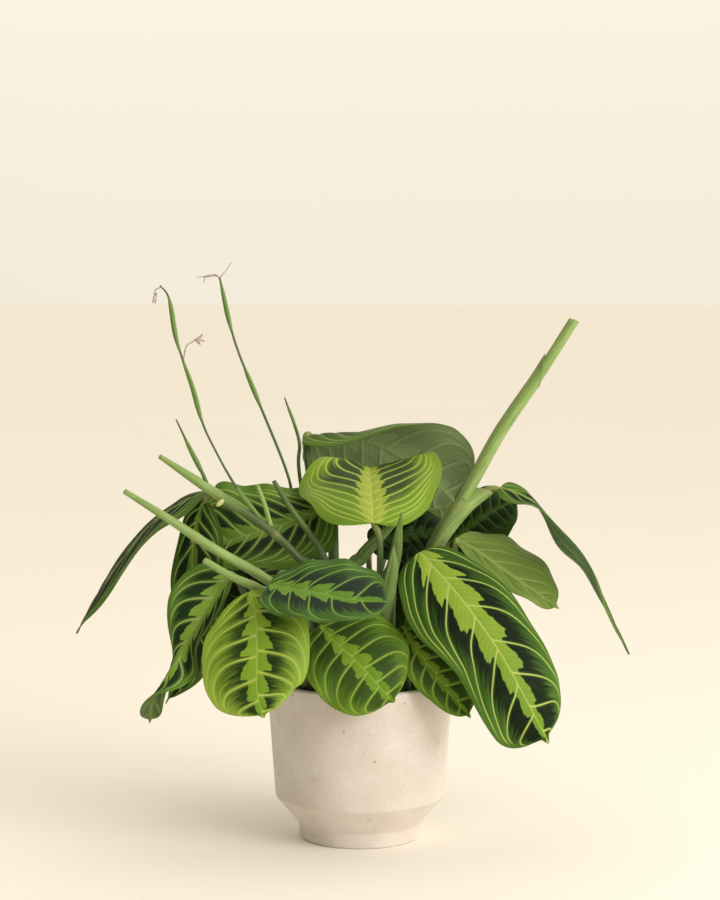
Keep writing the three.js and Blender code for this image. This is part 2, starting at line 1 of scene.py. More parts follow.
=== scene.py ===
# The looks of a potted prayer plant: fine leaf blades with raised veins and their markings, stalks,
# sheaths, withered buds, crumbly soil and speckled stoneware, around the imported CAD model.
# The sizes here repeat part.mjs, in millimetres; meshes are written in metres. +Z is up, front is -Y.

import math
from dataclasses import dataclass
from functools import partialmethod
from itertools import combinations
from types import SimpleNamespace

import bpy
import numpy as np
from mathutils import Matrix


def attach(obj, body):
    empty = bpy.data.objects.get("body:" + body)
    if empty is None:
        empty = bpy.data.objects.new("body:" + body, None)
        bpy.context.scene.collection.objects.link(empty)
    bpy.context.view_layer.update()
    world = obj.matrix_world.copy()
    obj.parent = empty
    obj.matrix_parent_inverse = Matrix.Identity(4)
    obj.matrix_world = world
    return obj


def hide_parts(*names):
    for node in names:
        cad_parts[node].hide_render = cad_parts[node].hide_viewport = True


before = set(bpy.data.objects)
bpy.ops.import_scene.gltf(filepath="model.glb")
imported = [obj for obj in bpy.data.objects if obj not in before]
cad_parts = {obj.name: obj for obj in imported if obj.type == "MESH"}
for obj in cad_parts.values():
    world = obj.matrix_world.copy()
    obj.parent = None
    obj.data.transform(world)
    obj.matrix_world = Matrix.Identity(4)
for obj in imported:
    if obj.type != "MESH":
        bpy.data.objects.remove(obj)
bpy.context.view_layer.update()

MM = 0.001
BODY = "root"

# Camera: the photograph's height and angle.
CAMERA_PLACE = (0, -1.5, 0.378)
CAMERA_PITCH = 4.4
CAMERA_LENS = 89.52
SENSOR = 36

# Pot and soil, as in part.mjs.
POT_HEIGHT = 108
RIM_RADIUS = 63
FOOT_RADIUS = 41
FOOT_HEIGHT = 11
SHOULDER_RADIUS = 57.3
SHOULDER_HEIGHT = 28.7
WALL = 4.6
FLOOR = 8
SOIL_TOP = 95.2
GAP = 0.35
ROOT_BOTTOM = 80

# How many crumbs lie on the soil, how big they are, and how far its top rises and falls.
CRUMBS = 620
CRUMB_SIZES = (0.5, 1.9)
SOIL_ROLL = 0.9

# Leaf blades, as in part.mjs, but with far more points.
BLADE_THICKNESS = 0.66
TIP_START = 0.965
ROWS = 112
COLUMNS = 31
# Veins that start within this last part of a leaf bend less, so that they end before its tip.
LATE_VEINS = 0.45
# The count starts here at a leaf's base, so that its first veins leave the midrib close to it.
FIRST_VEIN = 0.68
# Veins are drawn from this count on; those below zero fan out from the foot of the blade.
LOWEST_VEIN = -1.4
# The right half's veins leave the midrib this share of a step before the left half's.
RIGHT_LEAD = 0.7

# Relief of a blade: how high it stands between two veins, how deep veins and midrib lie in its upper
# side, how far they stand out below, and how uneven the whole blade is.
PLEAT = 0.7
VEIN_GROOVE = 0.25
MIDRIB_GROOVE = 0.35
VEIN_RIDGE = 0.12
MIDRIB_RIDGE = 0.75
UNEVENNESS = 0.7
# Length of the swollen joint below a blade.
JOINT = 9
# A stem's end is slanted over this length.
SLANT_LENGTH = 14


@dataclass
class Half:
    """One half of a leaf. A list of sizes changes from the foot of the blade to its tip. The sweep says
    how the veins bend forward: at once, then more steeply toward a limit near the margin."""
    width: object
    fullness: float = 0.44
    skew: float = 0.95
    lobe: float = 0.2
    fold: object = 5
    curl: object = -22
    sweep: tuple = (0.12, 0.05, 1.1)


def flat(width, **more):
    """Half of a leaf that is nearly flat."""
    return Half(width, **{"skew": 1, "lobe": 0.1, "fold": 0, "curl": -15, **more})


def strap(width, **more):
    """Half of a narrow leaf."""
    return flat(width, **{"curl": -10, "sweep": (0.3, 0.12, 1.1), **more})


@dataclass
class Leaf:
    """A leaf: its markings, midrib, the ways its face looks along it, its stalk and halves. The right
    half is like the left where none is given. A ripple is its height, number of waves and start."""
    look: str
    midrib: list
    facing: list
    stalk: list
    left: Half
    right: Half = None
    slot: str = "leaf_green"
    radii: tuple = (2.4, 1.6)
    veins: float = 8
    ripple: tuple = (1.5, 3, 0)
    seed: int = 0

    def __post_init__(self):
        self.right = self.right or self.left


LEAVES = {
    "front_right": Leaf(
        "bold", [(40, -28, 197), (65, -54, 171), (89, -70, 139), (107, -77, 107), (122, -72, 78)],
        [(0.05, -0.7, 0.7), (0.1, -0.98, 0.15)], [(36, -24, 97), (38, -20, 150), (39, -21, 190)],
        Half([37, 36, 34, 38, 54], 0.42, 1, 0.15, [5, -26], [-15, -20], (0.13, 0.05, 1.15)),
        Half([46, 44, 32, 34, 42], 0.3, 1.2, 0, curl=[-25, -15], sweep=(0.22, 0.13, 1.25)),
        "leaf_dark", (2.6, 1.8), 6.2),
    "centre_cup": Leaf(
        "lemon", [(9, -45, 218), (8, -14, 231), (7, 20, 242), (7, 50, 246), (7, 78, 237)],
        [(0, -0.45, 0.9), (0, 0.35, 0.9)], [(6, -22, 97), (12, -36, 160), (13, -44, 205)],
        Half([36, 43, 51, 35, 28], 0.36, 0.9, 0.3, [15, 15, 15, 25, 25], [-45, -45, -45, -20, -20],
             (0.26, 0.13, 1.25)),
        Half([38, 42, 49, 50, 46], 0.34, 1.05, 0.3, [-5, 0, 8, 15, 20], [-15, -10, -10, -5, -5],
             (0.26, 0.13, 1.25)),
        "leaf_lime", (2.6, 1.9), 10.5),
    "back_upright": Leaf(
        "grey", [(-37, 88, 265), (-11, 96, 265), (18, 102, 256), (47, 104, 237), (70, 100, 215)],
        [(0, 1, 0.25), (0, 1, 0.1)], [(-20, 24, 97), (-30, 52, 200), (-38, 80, 261)],
        Half(34, 0.42, 0.9, 0.6, 0, 10),
        Half([34, 36, 50, 50, 60], 0.42, 1, 1.4, [-45, -45, -10, 5, 10], [-85, -85, -90, -40, -20]),
        radii=(3.2, 2.4)),
    "front_dark": Leaf(
        "deep", [(-58, -70, 181), (-43, -76, 179), (-27, -80, 177), (-6, -82, 173), (20, -80, 171)],
        [(0, -0.6, 0.8)], [(-18, -40, 97), (-32, -46, 140), (-42, -48, 172), (-50, -56, 187)],
        Half([26, 26, 27, 28, 30], 0.28, 1.8, 0.25, 25, -18, (0.3, 0.14, 1.2)),
        Half(23, 0.42, 0.75, 0.45, 0, -12, (0.05, 0.04, 1.1)), "leaf_dark", veins=5),
    "front_left": Leaf(
        "lime", [(-71, -60, 175), (-67, -70, 157), (-66, -77, 136), (-66, -80, 114), (-62, -79, 96)],
        [(0, -0.8, 0.6), (0, -0.98, 0.15)],
        [(-28, -34, 97), (-36, -40, 122), (-58, -50, 156), (-69, -57, 173)],
        Half(35, skew=0.85, curl=[-25, -35], sweep=(0.07, 0.06, 1.15)),
        Half(37, 0.46, 1.2, 0, curl=-25, sweep=(0.14, 0.09, 1.25)), "leaf_lime", veins=6.2),
    "front_centre": Leaf(
        "fresh", [(-26, -53, 152), (-15, -63, 142), (-2, -70, 131), (11, -74, 117), (22, -74, 105)],
        [(0, -0.75, 0.66), (0, -0.95, 0.3)], [(-6, -48, 97), (-16, -49, 130), (-23, -51, 149)],
        Half(38, skew=0.9, fold=0, curl=[-20, -25], sweep=(0.06, 0.06, 1.2)),
        Half(33, skew=1.05, curl=-25, sweep=(0.09, 0.08, 1.25)), "leaf_lime", veins=6.6),
    "rim_right": Leaf(
        "fresh", [(28, -44, 150), (35, -53, 138), (46, -58, 124), (58, -60, 109), (72, -58, 92)],
        [(0, -0.8, 0.6), (0, -0.95, 0.3)], [(32, -36, 97), (30, -40, 130), (28, -42, 146)], Half(24, 0.46),
        Half(15, 0.46), "leaf_lime", (2.2, 1.5), 7),
    "right_olive": Leaf(
        "olive", [(65, -9, 204), (80, -16, 195), (97, -21, 183), (116, -25, 170), (132, -26, 159)],
        [(0.1, -0.6, 0.8), (0.2, -0.8, 0.6)], [(47, -2, 97), (60, -8, 170), (64, -11, 200)],
        flat(32, curl=-25, sweep=(0.5, 0.2, 1.3)), flat(10, sweep=(0.3, 0.1, 1.3)), "leaf_olive", veins=5),
    # This back right leaf wears a darker look that is painted shade.
    "right_back": Leaf(
        "shaded_back", [(61, 31, 195), (72, 28, 205), (85, 26, 215), (97, 25, 222), (108, 25, 226)],
        [(0, -0.7, 0.7)], [(36, 22, 97), (54, 28, 170), (60, 31, 192)], Half(24, skew=1), slot="leaf_dark"),
    "left_upper": Leaf(
        "vivid", [(-22, 22, 222), (-43, 15, 214), (-66, 9, 207), (-88, 7, 201), (-110, 8, 195)],
        [(0, -0.72, 0.7)], [(-8, 10, 97), (-17, 14, 170), (-19, 17, 218)],
        Half([40, 38, 32, 28, 26], 0.4, lobe=0.1, curl=-20, sweep=(0.3, 0.08, 1.1)),
        Half([31, 31, 36, 46, 50], 0.34, 1.15, 0, 20, -10, (0.3, 0.08, 1.1)),
        radii=(4.2, 3.2), ripple=(2, 3, 1)),
    "left_folded": Leaf(
        "folded",
        [(-86, -32, 184), (-98, -45, 165), (-111, -56, 144), (-123, -62, 125), (-134, -63, 106),
         (-137, -60, 89)],
        [(-0.15, -0.95, 0.35), (-0.15, -0.95, 0.25), (-0.25, -0.95, 0.2), (-0.95, -0.2, 0.2),
         (-0.45, 0.85, 0.3), (-0.3, 0.95, 0.1)],
        [(-42, -18, 97), (-70, -25, 155), (-83, -29, 181)],
        Half([17, 20, 19, 12, 15], 0.32, 0.9, 0.1, [-70, -78, -80, -40, 0], -5),
        Half([30, 29, 12, 8, 15], 0.32, 0.8, fold=[5, 0, -10, -10, 0], curl=-15),
        veins=7.5, ripple=(1, 2, 0)),
    # The three inner leaves sit deep in the plant and wear the shade look, which is painted shade.
    "inner_right": Leaf(
        "shade", [(7, 44, 193), (22, 48, 197), (38, 52, 200), (52, 54, 200), (65, 56, 197)],
        [(0, -0.8, 0.6)], [(10, 30, 97), (8, 38, 150), (6, 43, 188)], Half(20), slot="leaf_dark"),
    "inner_low": Leaf(
        "shade", [(26, 13, 106), (27, 14, 126), (29, 14, 150), (31, 13, 174), (33, 12, 196)],
        [(0, -1, 0.1)], [(26, 13, 97), (26, 13, 103)], flat(19), slot="leaf_dark", radii=(2, 1.5)),
    "inner_left": Leaf(
        "shade", [(-64, 12, 117), (-71, 12, 134), (-76, 12, 152), (-79, 12, 170), (-80, 12, 187)],
        [(0, -1, 0.1)], [(-40, 8, 97), (-52, 11, 109), (-62, 12, 115)], flat(21, fullness=0.34),
        slot="leaf_dark", radii=(2, 1.5)),
    "rear_left": Leaf(
        "mid", [(-46, 42, 170), (-62, 54, 180), (-80, 62, 176), (-96, 70, 158), (-106, 76, 134)],
        [(-0.1, -0.1, 1), (-0.6, -0.2, 0.6)], [(-34, 28, 97), (-40, 32, 135), (-44, 39, 162)], Half(27)),
    "rear_centre": Leaf(
        "lime", [(-10, 88, 156), (-12, 112, 168), (-16, 134, 160), (-18, 150, 134), (-18, 158, 100)],
        [(0, 0.1, 1), (0, 0.9, 0.2)], [(-8, 42, 97), (-9, 60, 130), (-10, 80, 150)], Half(33)),
    "rear_right": Leaf(
        "mid", [(38, 62, 152), (52, 86, 162), (66, 106, 150), (76, 120, 126), (80, 127, 98)],
        [(0.2, 0.1, 1), (0.6, 0.7, 0.2)], [(28, 32, 97), (32, 44, 126), (36, 57, 146)], Half(31)),
    "rear_high": Leaf(
        "bold", [(30, 124, 228), (34, 148, 236), (38, 170, 226), (42, 186, 202), (42, 194, 172)],
        [(0, 0.1, 1), (0, 0.9, 0.25)], [(-2, 28, 97), (12, 80, 160), (26, 112, 204)], Half(32),
        radii=(2.6, 1.7)),
}

# These three grow on a cut stem and are built with it.
LEAF_FAR_RIGHT = Leaf(
    "strap",
    [(95, 5, 237), (109, 0, 232), (122, -5, 223), (135, -12, 203), (152, -16, 185), (164, -18, 160),
     (180, -18, 127)],
    [(0.1, -0.5, 0.85), (0.3, -0.35, 0.9), (0.75, 0.02, 0.65), (0.8, 0.28, 0.5), (0.85, 0.12, 0.45),
     (0.9, 0.02, 0.4), (0.9, 0, 0.3)],
    [(82, 4, 233), (89, 6, 236)],
    strap([24, 18, 15, 16, 16], fullness=0.46, lobe=0.2),
    strap([24, 22, 21, 21, 21], fullness=0.46, lobe=0.2),
    radii=(2.2, 1.6), veins=5, ripple=(1, 2, 0), seed=21,
)
LEAF_FAR_LEFT = Leaf(
    "strap",
    [(-103, -4, 235), (-120, -7, 227), (-140, -10, 213), (-162, -12, 186), (-179, -12, 161),
     (-190, -12, 140)],
    [(-0.5, -0.12, 0.85), (-0.7, -0.14, 0.7), (-0.75, -0.05, 0.6)],
    [(-96, -30, 236), (-100, -16, 237)],
    strap(28),
    strap(33),
    veins=6, ripple=(1.5, 2, 0), seed=22,
)
LEAF_LEFT_HANGING = Leaf(
    "mid",
    [(-104, -18, 231), (-110, -15, 210), (-113, -13, 180), (-116, -11, 149), (-120, -9, 117),
     (-131, -10, 92)],
    [(-0.45, -0.75, 0.5), (-0.45, -0.88, 0.15), (-0.4, -0.9, 0)],
    [(-98, -29, 237), (-101, -24, 233)],
    flat([25, 25, 25, 24, 9]),
    flat([16, 16, 16, 9, 4]),
    seed=23,
)

# Lines of stems and stalks, most of them with the radii along them.
RIGHT_STEM = [
    (30, 2, 97), (38, 2, 166), (53, 0, 203), (74, -2, 238), (94, -4, 275), (121, -4, 315), (143, -4, 350),
]
RIGHT_STEM_RADII = [4.5, 4.5, 4.2, 3.8, 3.6, 3.6, 3.5]
# A thin sheath wraps this share of the right stem and ends aslant below its cut top.
RIGHT_WRAP = (0.46, 0.84)
RIGHT_WRAP_RADII = [3.9, 4.4, 4.4, 4.2]
RIGHT_SHEATH = [(41, 2, 174), (53, 1, 201), (69, 2, 223), (85, 4, 235)]
RIGHT_SHEATH_RADII = [4.6, 5.6, 6.3, 4.6]
LEFT_UPPER_STEM = [
    (-28, -10, 97), (-32, -22, 178), (-42, -25, 194), (-63, -28, 214), (-101, -30, 240), (-132, -32, 261),
]
LEFT_UPPER_RADII = [3, 3, 2.7, 2.9, 3.3, 1.6]
LONG_FLOWER_STALK = [
    (-61, -28, 213), (-82, -30, 241), (-97, -30, 268), (-104, -30, 284), (-110, -30, 306),
    (-120, -30, 336), (-125, -30, 364), (-131, -30, 373),
]
LONG_FLOWER_RADII = [1.5, 0.9, 0.7, 0.8, 0.9, 0.7, 0.7, 0.5]
SIDE_FLOWER = [(-116, -30, 324), (-114, -31, 333), (-110, -32, 336), (-105, -32, 339)]
END_FLOWER = [(-130, -30, 372), (-134, -30, 370), (-134, -30, 364)]
LOW_STALK = [(-100, -30, 240), (-105, -30, 252), (-113, -30, 268), (-121, -30, 285)]
STUB = [(-59, -28, 214), (-63, -27, 228), (-68, -26, 241)]
PALE_BUD = [(-90, -31, 232), (-92, -35, 230.5), (-93.5, -38, 229)]

CUT_STEMS = {
    "stem_left_lower_cut": (
        [(-12, -24, 97), (-20, -28, 146), (-61, -34, 179), (-95, -40, 200), (-124, -44, 220),
         (-154, -44, 239)],
        [3.6, 3.6, 3.4, 3.3, 2.8, 1.8],
    ),
    "stem_left_short_cut": (
        [(-40, -28, 97), (-50, -42, 163), (-66, -47, 175), (-85, -48, 184), (-102, -48, 194)],
        [3, 3, 3, 2.6, 2.2],
    ),
}
SHOOTS = {
    "shoot_centre": ([(20, -16, 97), (21, -28, 172), (24, -40, 200), (27, -54, 226)], [2.5, 3.2, 3.8, 0.5]),
    "shoot_centre_low": (
        [(16, -38, 97), (16, -42, 150), (18, -46, 168), (21, -50, 188), (22, -52, 204)],
        [2.5, 3.4, 4.4, 4.2, 0.5],
    ),
    "sheath_centre": ([(0, -12, 97), (-5, -26, 178), (2, -26, 194), (21, -24, 215)], [3, 4.4, 4.4, 3]),
}
FLOWER_STALKS = {
    "middle": (
        [(-24, 8, 97), (-47, 34, 212), (-49, 36, 240), (-70, 36, 294), (-86, 36, 335), (-96, 36, 378)],
        [1.4, 1.2, 1, 0.9, 0.8, 0.7],
    ),
    "right": ([(-12, 28, 97), (-41, 70, 229), (-43, 72, 264), (-53, 72, 294)], [1.4, 1.3, 1.2, 0.5]),
    "short": (
        [(-14, -8, 97), (-19, -13, 170), (-26, -16, 196), (-45, -22, 224), (-57, -26, 244)],
        [2, 2.2, 2.4, 2, 1.5],
    ),
}
# How dry the last part of each of them is.
DRY_TIPS = {"middle": 0.5, "right": 0.2, "short": 0}

# Thin bracts clasp the flower stalks, each from one share of its stalk to another.
BRACTS = {
    "long": [(0.43, 0.68), (0.69, 0.88), (0, 0.16)],
    "low": [(0.25, 0.8)],
    "middle": [(0.58, 0.72), (0.83, 0.995)],
    "right": [(0.62, 1)],
}
BRACT_RADII = np.array([0.8, 1.5, 1.6, 1.3, 0.5])
SLIM_BRACTS = 0.7

# The withered flowers.
MIDDLE_FLOWER = [(-96, 36, 377), (-98, 36, 379.5), (-102, 36, 379.5), (-107, 36, 378.5)]
MIDDLE_FILAMENTS = [
    [(-106, 36, 378.6), (-109, 35.6, 378.8), (-112, 35.4, 378)],
    [(-106, 36, 378.3), (-106.6, 36.4, 376), (-107, 36.6, 374)],
    [(-96, 36, 378), (-92.5, 36, 382), (-90, 36, 385.5), (-88, 36.4, 388.4)],
]
SIDE_PETALS = [
    [(-109, -31.6, 337), (-106, -32, 338.4), (-103, -32.4, 341)],
    [(-109, -31.6, 337), (-105.4, -31.6, 337.4), (-102, -31.2, 336.6)],
    [(-108, -31.8, 337.2), (-106, -33, 336), (-104.4, -34, 334)],
]
END_PETALS = [
    [(-133.4, -30, 368), (-134.6, -30.6, 365), (-135.6, -31, 361.5)],
    [(-133.4, -30, 368), (-134.4, -29.4, 364.6), (-134, -29, 361)],
]


# Node maths.

def linear(colour, share=1):
    """A screen colour, 0 to 255, as the linear colour that a shader takes, or a darker share of it."""
    def one(value):
        value /= 255
        return (value / 12.92 if value <= 0.04045 else ((value + 0.055) / 1.055) ** 2.4) * share
    return (*map(one, colour), 1)


def shader_colour(colour):
    """Three screen values are made linear; a shader's own colour or a socket stays as it is."""
    return linear(colour) if isinstance(colour, tuple) and len(colour) == 3 else colour


class Term:
    """A number in a node tree, with ordinary arithmetic."""

    def __init__(self, graph, socket):
        self.graph = graph
        self.socket = socket

    def apply(self, operation, *others):
        node = self.graph.node("ShaderNodeMath", enumerate((self, *others)), operation=operation)
        return Term(self.graph, node.outputs[0])

    __add__ = __radd__ = partialmethod(apply, "ADD")
    __sub__ = partialmethod(apply, "SUBTRACT")
    __mul__ = partialmethod(apply, "MULTIPLY")
    __truediv__ = partialmethod(apply, "DIVIDE")
    __abs__ = partialmethod(apply, "ABSOLUTE")
    part = partialmethod(apply, "FRACT")
    least = partialmethod(apply, "MINIMUM")
    above = partialmethod(apply, "GREATER_THAN")

    def __rsub__(self, other):
        return self * -1 + other

    def wave(self):
        """A full sine wave for each whole step, from 0 to 1."""
        return (self * math.tau).apply("SINE") * 0.5 + 0.5

    def rise(self, low, high, bottom=0, top=1):
        """Bottom below low, top above high, and smooth between."""
        ends = {"Value": self, "From Min": low, "From Max": high, "To Min": bottom, "To Max": top}
        node = self.graph.node("ShaderNodeMapRange", ends, interpolation_type="SMOOTHSTEP")
        return Term(self.graph, node.outputs["Result"])

    def profile(self, stops):
        """A line drawn through (place, height) stops."""
        node = self.graph.node("ShaderNodeValToRGB", {"Fac": self})
        elements = node.color_ramp.elements
        while len(elements) < len(stops):
            elements.new(0.5)
        for element, (place, height) in zip(elements, stops):
            element.position = place
            element.color = (height, height, height, 1)
        return Term(self.graph, node.outputs["Color"])


class Graph:
    """The nodes of one material or world."""

    def __init__(self, owner):
        self.owner = owner
        owner.use_nodes = True
        self.tree = owner.node_tree

    def node(self, kind, inputs=(), **settings):
        """A new node, with its settings and what goes into its sockets, by number or name."""
        node = self.tree.nodes.new(kind)
        for key, value in settings.items():
            setattr(node, key, value)
        self.feed(node, inputs)
        return node

    def feed(self, node, inputs):
        for key, value in dict(inputs).items():
            if isinstance(value, Term):
                value = value.socket
            if isinstance(value, bpy.types.NodeSocket):
                self.tree.links.new(value, node.inputs[key])
            else:
                node.inputs[key].default_value = value

    def mark(self, name):
        """A number written on the mesh's points."""
        return Term(self, self.node("ShaderNodeAttribute", attribute_name=name).outputs["Fac"])

    def place(self):
        """The point in the object's own frame, in metres."""
        return self.node("ShaderNodeTexCoord").outputs["Object"]

    def vector(self, *terms):
        return self.node("ShaderNodeCombineXYZ", enumerate(terms)).outputs[0]

    def noise(self, scale, detail=2, roughness=0.5, vector=None):
        inputs = {"Vector": vector or self.place(), "Scale": scale, "Detail": detail, "Roughness": roughness}
        return Term(self, self.node("ShaderNodeTexNoise", inputs).outputs["Fac"])

    def cells(self, scale):
        """How far each point is from the middle of its cell in a random pattern."""
        node = self.node("ShaderNodeTexVoronoi", {"Vector": self.place(), "Scale": scale})
        return Term(self, node.outputs["Distance"])

    def paint(self, colour, *layers):
        """Lays layers over a colour. Each is an amount, which counts between 0 and 1, and a colour."""
        for amount, over in layers:
            inputs = {0: amount, 6: shader_colour(colour), 7: shader_colour(over)}
            colour = self.node("ShaderNodeMix", inputs, data_type="RGBA").outputs[2]
        return colour

    def finish(self, colour, roughness, height=None, depth=0.0002, strength=0.6, shine=0.5):
        """Connects the material's shader, with bump from a height."""
        shader = self.tree.nodes["Principled BSDF"]
        self.feed(shader, {"Base Color": colour, "Roughness": roughness, "Specular IOR Level": shine})
        if height is not None:
            bump = self.node("ShaderNodeBump", {"Strength": strength, "Distance": depth, "Height": height})
            self.feed(shader, {"Normal": bump.outputs["Normal"]})
        return self.owner


def new_material(name):
    return Graph(bpy.data.materials.new(name))


# Materials.

@dataclass
class Look:
    """A kind of leaf: the screen colours of the light band along its midrib and of its ribs, of the dark
    blotches, the margin and its streaks, the veins, the midrib, and the underside with its veins. Then
    how far the band reaches at the foot, the middle and the tip, how toothed it is, where the blotches
    fade and how strong they are, the width of a vein, the shine, and from which vein blotches start."""
    band: tuple
    rib: tuple
    dark: tuple
    margin: tuple
    streak: tuple
    vein: tuple
    midrib: tuple
    under: tuple
    under_vein: tuple
    reach: tuple
    teeth: float
    fade: tuple
    strength: float = 1
    vein_width: float = 1.6
    shine: float = 0.14
    start: tuple = (0.8, 1.5)


LOOKS = {
    "bold": Look(
        (98, 136, 40), (150, 174, 62), (16, 30, 10), (44, 76, 22), (90, 128, 44), (174, 192, 98),
        (170, 188, 92), (90, 106, 66), (136, 148, 94), (0.44, 0.32, 0.07), 0.48, (0.44, 0.82), shine=0.1),
    "lemon": Look(
        (134, 158, 48), (162, 178, 66), (46, 68, 24), (104, 142, 30), (140, 170, 50), (178, 194, 84),
        (170, 182, 86), (112, 130, 70), (146, 156, 100), (0.38, 0.15, 0.03), 0.5, (0.5, 0.84),
        vein_width=1.9, start=(1.4, 5)),
    "grey": Look(
        (84, 118, 38), (112, 140, 56), (40, 66, 24), (74, 108, 34), (98, 128, 48), (144, 158, 80),
        (144, 156, 84), (112, 134, 86), (150, 166, 114), (0.3, 0.3, 0.15), 0.5, (0.5, 0.8), strength=0.8),
    "deep": Look(
        (80, 124, 32), (112, 152, 50), (26, 44, 26), (50, 88, 28), (76, 112, 40), (124, 158, 68),
        (126, 158, 70), (90, 106, 66), (136, 148, 94), (0.32, 0.3, 0.08), 0.66, (0.45, 0.8),
        vein_width=1.4, shine=0.26),
    "lime": Look(
        (104, 144, 34), (140, 170, 54), (26, 50, 12), (112, 148, 34), (158, 182, 72), (168, 190, 86),
        (156, 178, 74), (106, 124, 66), (142, 154, 92), (0.22, 0.27, 0.18), 0.6, (0.26, 0.84),
        vein_width=1.9),
    "fresh": Look(
        (94, 132, 30), (126, 158, 46), (42, 66, 20), (72, 108, 22), (110, 142, 42), (142, 170, 66),
        (140, 166, 64), (106, 124, 66), (142, 154, 92), (0.12, 0.22, 0.16), 0.55, (0.4, 0.9),
        strength=0.85, vein_width=1.7),
    # Painted shade: the inner leaves' look, its colours darkened to stand for the shade deep between the
    # other leaves.
    "shade": Look(
        (48, 70, 26), (58, 82, 32), (16, 26, 12), (30, 48, 18), (40, 60, 24), (66, 88, 42),
        (70, 90, 44), (52, 66, 38), (84, 98, 60), (0.3, 0.3, 0.1), 0.5, (0.4, 0.8),
        strength=0.8, vein_width=1.2, shine=0.1),
    # Painted shade: a darker, duller copy of the leaf colours for the back right leaf, which sits in shade.
    "shaded_back": Look(
        (54, 82, 28), (72, 100, 38), (28, 46, 18), (46, 72, 26), (72, 100, 38), (94, 118, 56),
        (90, 114, 52), (70, 86, 50), (106, 120, 76), (0.14, 0.14, 0.06), 0.5, (0.3, 0.8),
        strength=0.9, vein_width=1.2, shine=0.12),
    "olive": Look(
        (118, 142, 60), (128, 150, 68), (88, 110, 46), (108, 132, 54), (126, 148, 70), (142, 160, 86),
        (134, 154, 80), (102, 116, 70), (138, 148, 98), (0.04, 0.04, 0.02), 0, (0.1, 0.9),
        strength=0.5, vein_width=1, shine=0.18),
    "mid": Look(
        (76, 110, 32), (102, 136, 48), (22, 38, 14), (58, 88, 26), (88, 120, 42), (142, 168, 80),
        (136, 160, 76), (90, 108, 62), (136, 148, 92), (0.16, 0.22, 0.3), 0.6, (0.55, 0.92),
        vein_width=2.2),
    "vivid": Look(
        (92, 128, 40), (116, 148, 56), (24, 42, 16), (74, 108, 34), (104, 138, 50), (142, 168, 80),
        (136, 160, 76), (90, 108, 62), (136, 148, 92), (0.16, 0.2, 0.24), 0.6, (0.42, 0.86),
        vein_width=2.2),
    "folded": Look(
        (112, 150, 48), (138, 168, 70), (28, 52, 24), (80, 118, 40), (106, 144, 56), (156, 178, 98),
        (126, 150, 70), (82, 102, 56), (108, 124, 74), (0.28, 0.34, 0.2), 0.6, (0.56, 0.9),
        vein_width=2.3, shine=0.12),
    "strap": Look(
        (84, 118, 40), (100, 134, 50), (20, 36, 14), (70, 104, 34), (94, 128, 48), (146, 168, 92),
        (140, 162, 86), (98, 130, 88), (132, 158, 108), (0.14, 0.14, 0.08), 0.5, (0.5, 0.86), shine=0.06),
}

# How far the light band reaches along each stretch between two veins, from the lower vein to the
# upper one: it climbs to a tooth and then drops back to the midrib.
TOOTH = [
    (0, 0.12), (0.24, 0.3), (0.3, 0.55), (0.5, 0.7), (0.56, 0.98), (0.8, 1.06), (0.88, 0.12), (1, 0),
]


def leaf_terms(graph, look):
    """What both sides of a leaf share: where a point lies between the veins, and the patterns there."""
    u, t, off, cell, seed = (graph.mark(name) for name in ("u", "t", "off", "cell", "seed"))
    out = abs(t)
    phase = graph.mark("phase") + t.above(0) * RIGHT_LEAD
    between = phase.part()
    gap = between.least(1 - between) * cell
    feather = graph.noise(1.6, 3, 0.6, graph.vector(phase * 5, out * 1.3, seed))
    jag = graph.noise(2.4, vector=graph.vector(phase * 1.6, out * 1.2, seed + 3))
    width = (1 - out * 0.5) * look.vein_width
    drawn = phase.rise(LOWEST_VEIN, LOWEST_VEIN + 0.3) * cell.rise(1.4, 2.8)
    low, middle, high = look.reach
    span = u.profile([(0, low), (0.5, middle), (1, high)])
    reach = (1 - look.teeth + (between.profile(TOOTH) + (jag - 0.5) * 1.2) * look.teeth) * span
    inside = (out - reach).rise(0, 0.035)
    fading = (out + (feather - 0.5) * 0.7).rise(*look.fade)
    ends = u.rise(0, 0.06) * (1 - u.rise(0.93, 1))
    return SimpleNamespace(
        u=u, out=out, inside=inside, feather=feather,
        vein=(1 - (gap / width).rise(0.25, 0.6)) * (1 - out.rise(0.86, 1) * 0.9) * drawn,
        midrib=1 - (abs(off) / (1.25 - u * 0.95)).rise(0.35, 0.95),
        ribs=(phase * 6 + jag * 1.2).wave(),
        blotch=inside * (1 - fading) * ends * phase.rise(*look.start) * look.strength,
        halo=(1 - (gap / look.vein_width).rise(0.2, 1.3)) * drawn,
    )


def leaf_top(name, look):
    graph = new_material(name)
    at = leaf_terms(graph, look)
    mottle = graph.noise(90, 3)
    grain = graph.noise(900)
    light = at.ribs * 0.16 + mottle * 0.4 + 0.55 - at.u * 0.75
    streaks = at.ribs * 0.2 + at.feather * 0.9 - 0.5 + at.out.rise(0.7, 1) * 0.25 + at.u * 0.45
    colour = graph.paint(
        graph.paint(look.band, (light, look.rib)),
        (at.inside, graph.paint(look.margin, (streaks, look.streak))),
        (at.blotch * (0.86 + mottle * 0.3) - at.halo * 0.25, look.dark),
        (at.halo * 0.22, look.streak),
        (at.vein * 0.92, look.vein),
        (at.midrib * 0.9, look.midrib),
    )
    roughness = 0.46 + mottle * 0.14 + at.blotch * 0.04
    height = at.ribs * 0.12 + grain * 0.5 + mottle * 0.3 - at.vein * 0.5
    return graph.finish(colour, roughness, height, 0.00022, 0.5, look.shine)


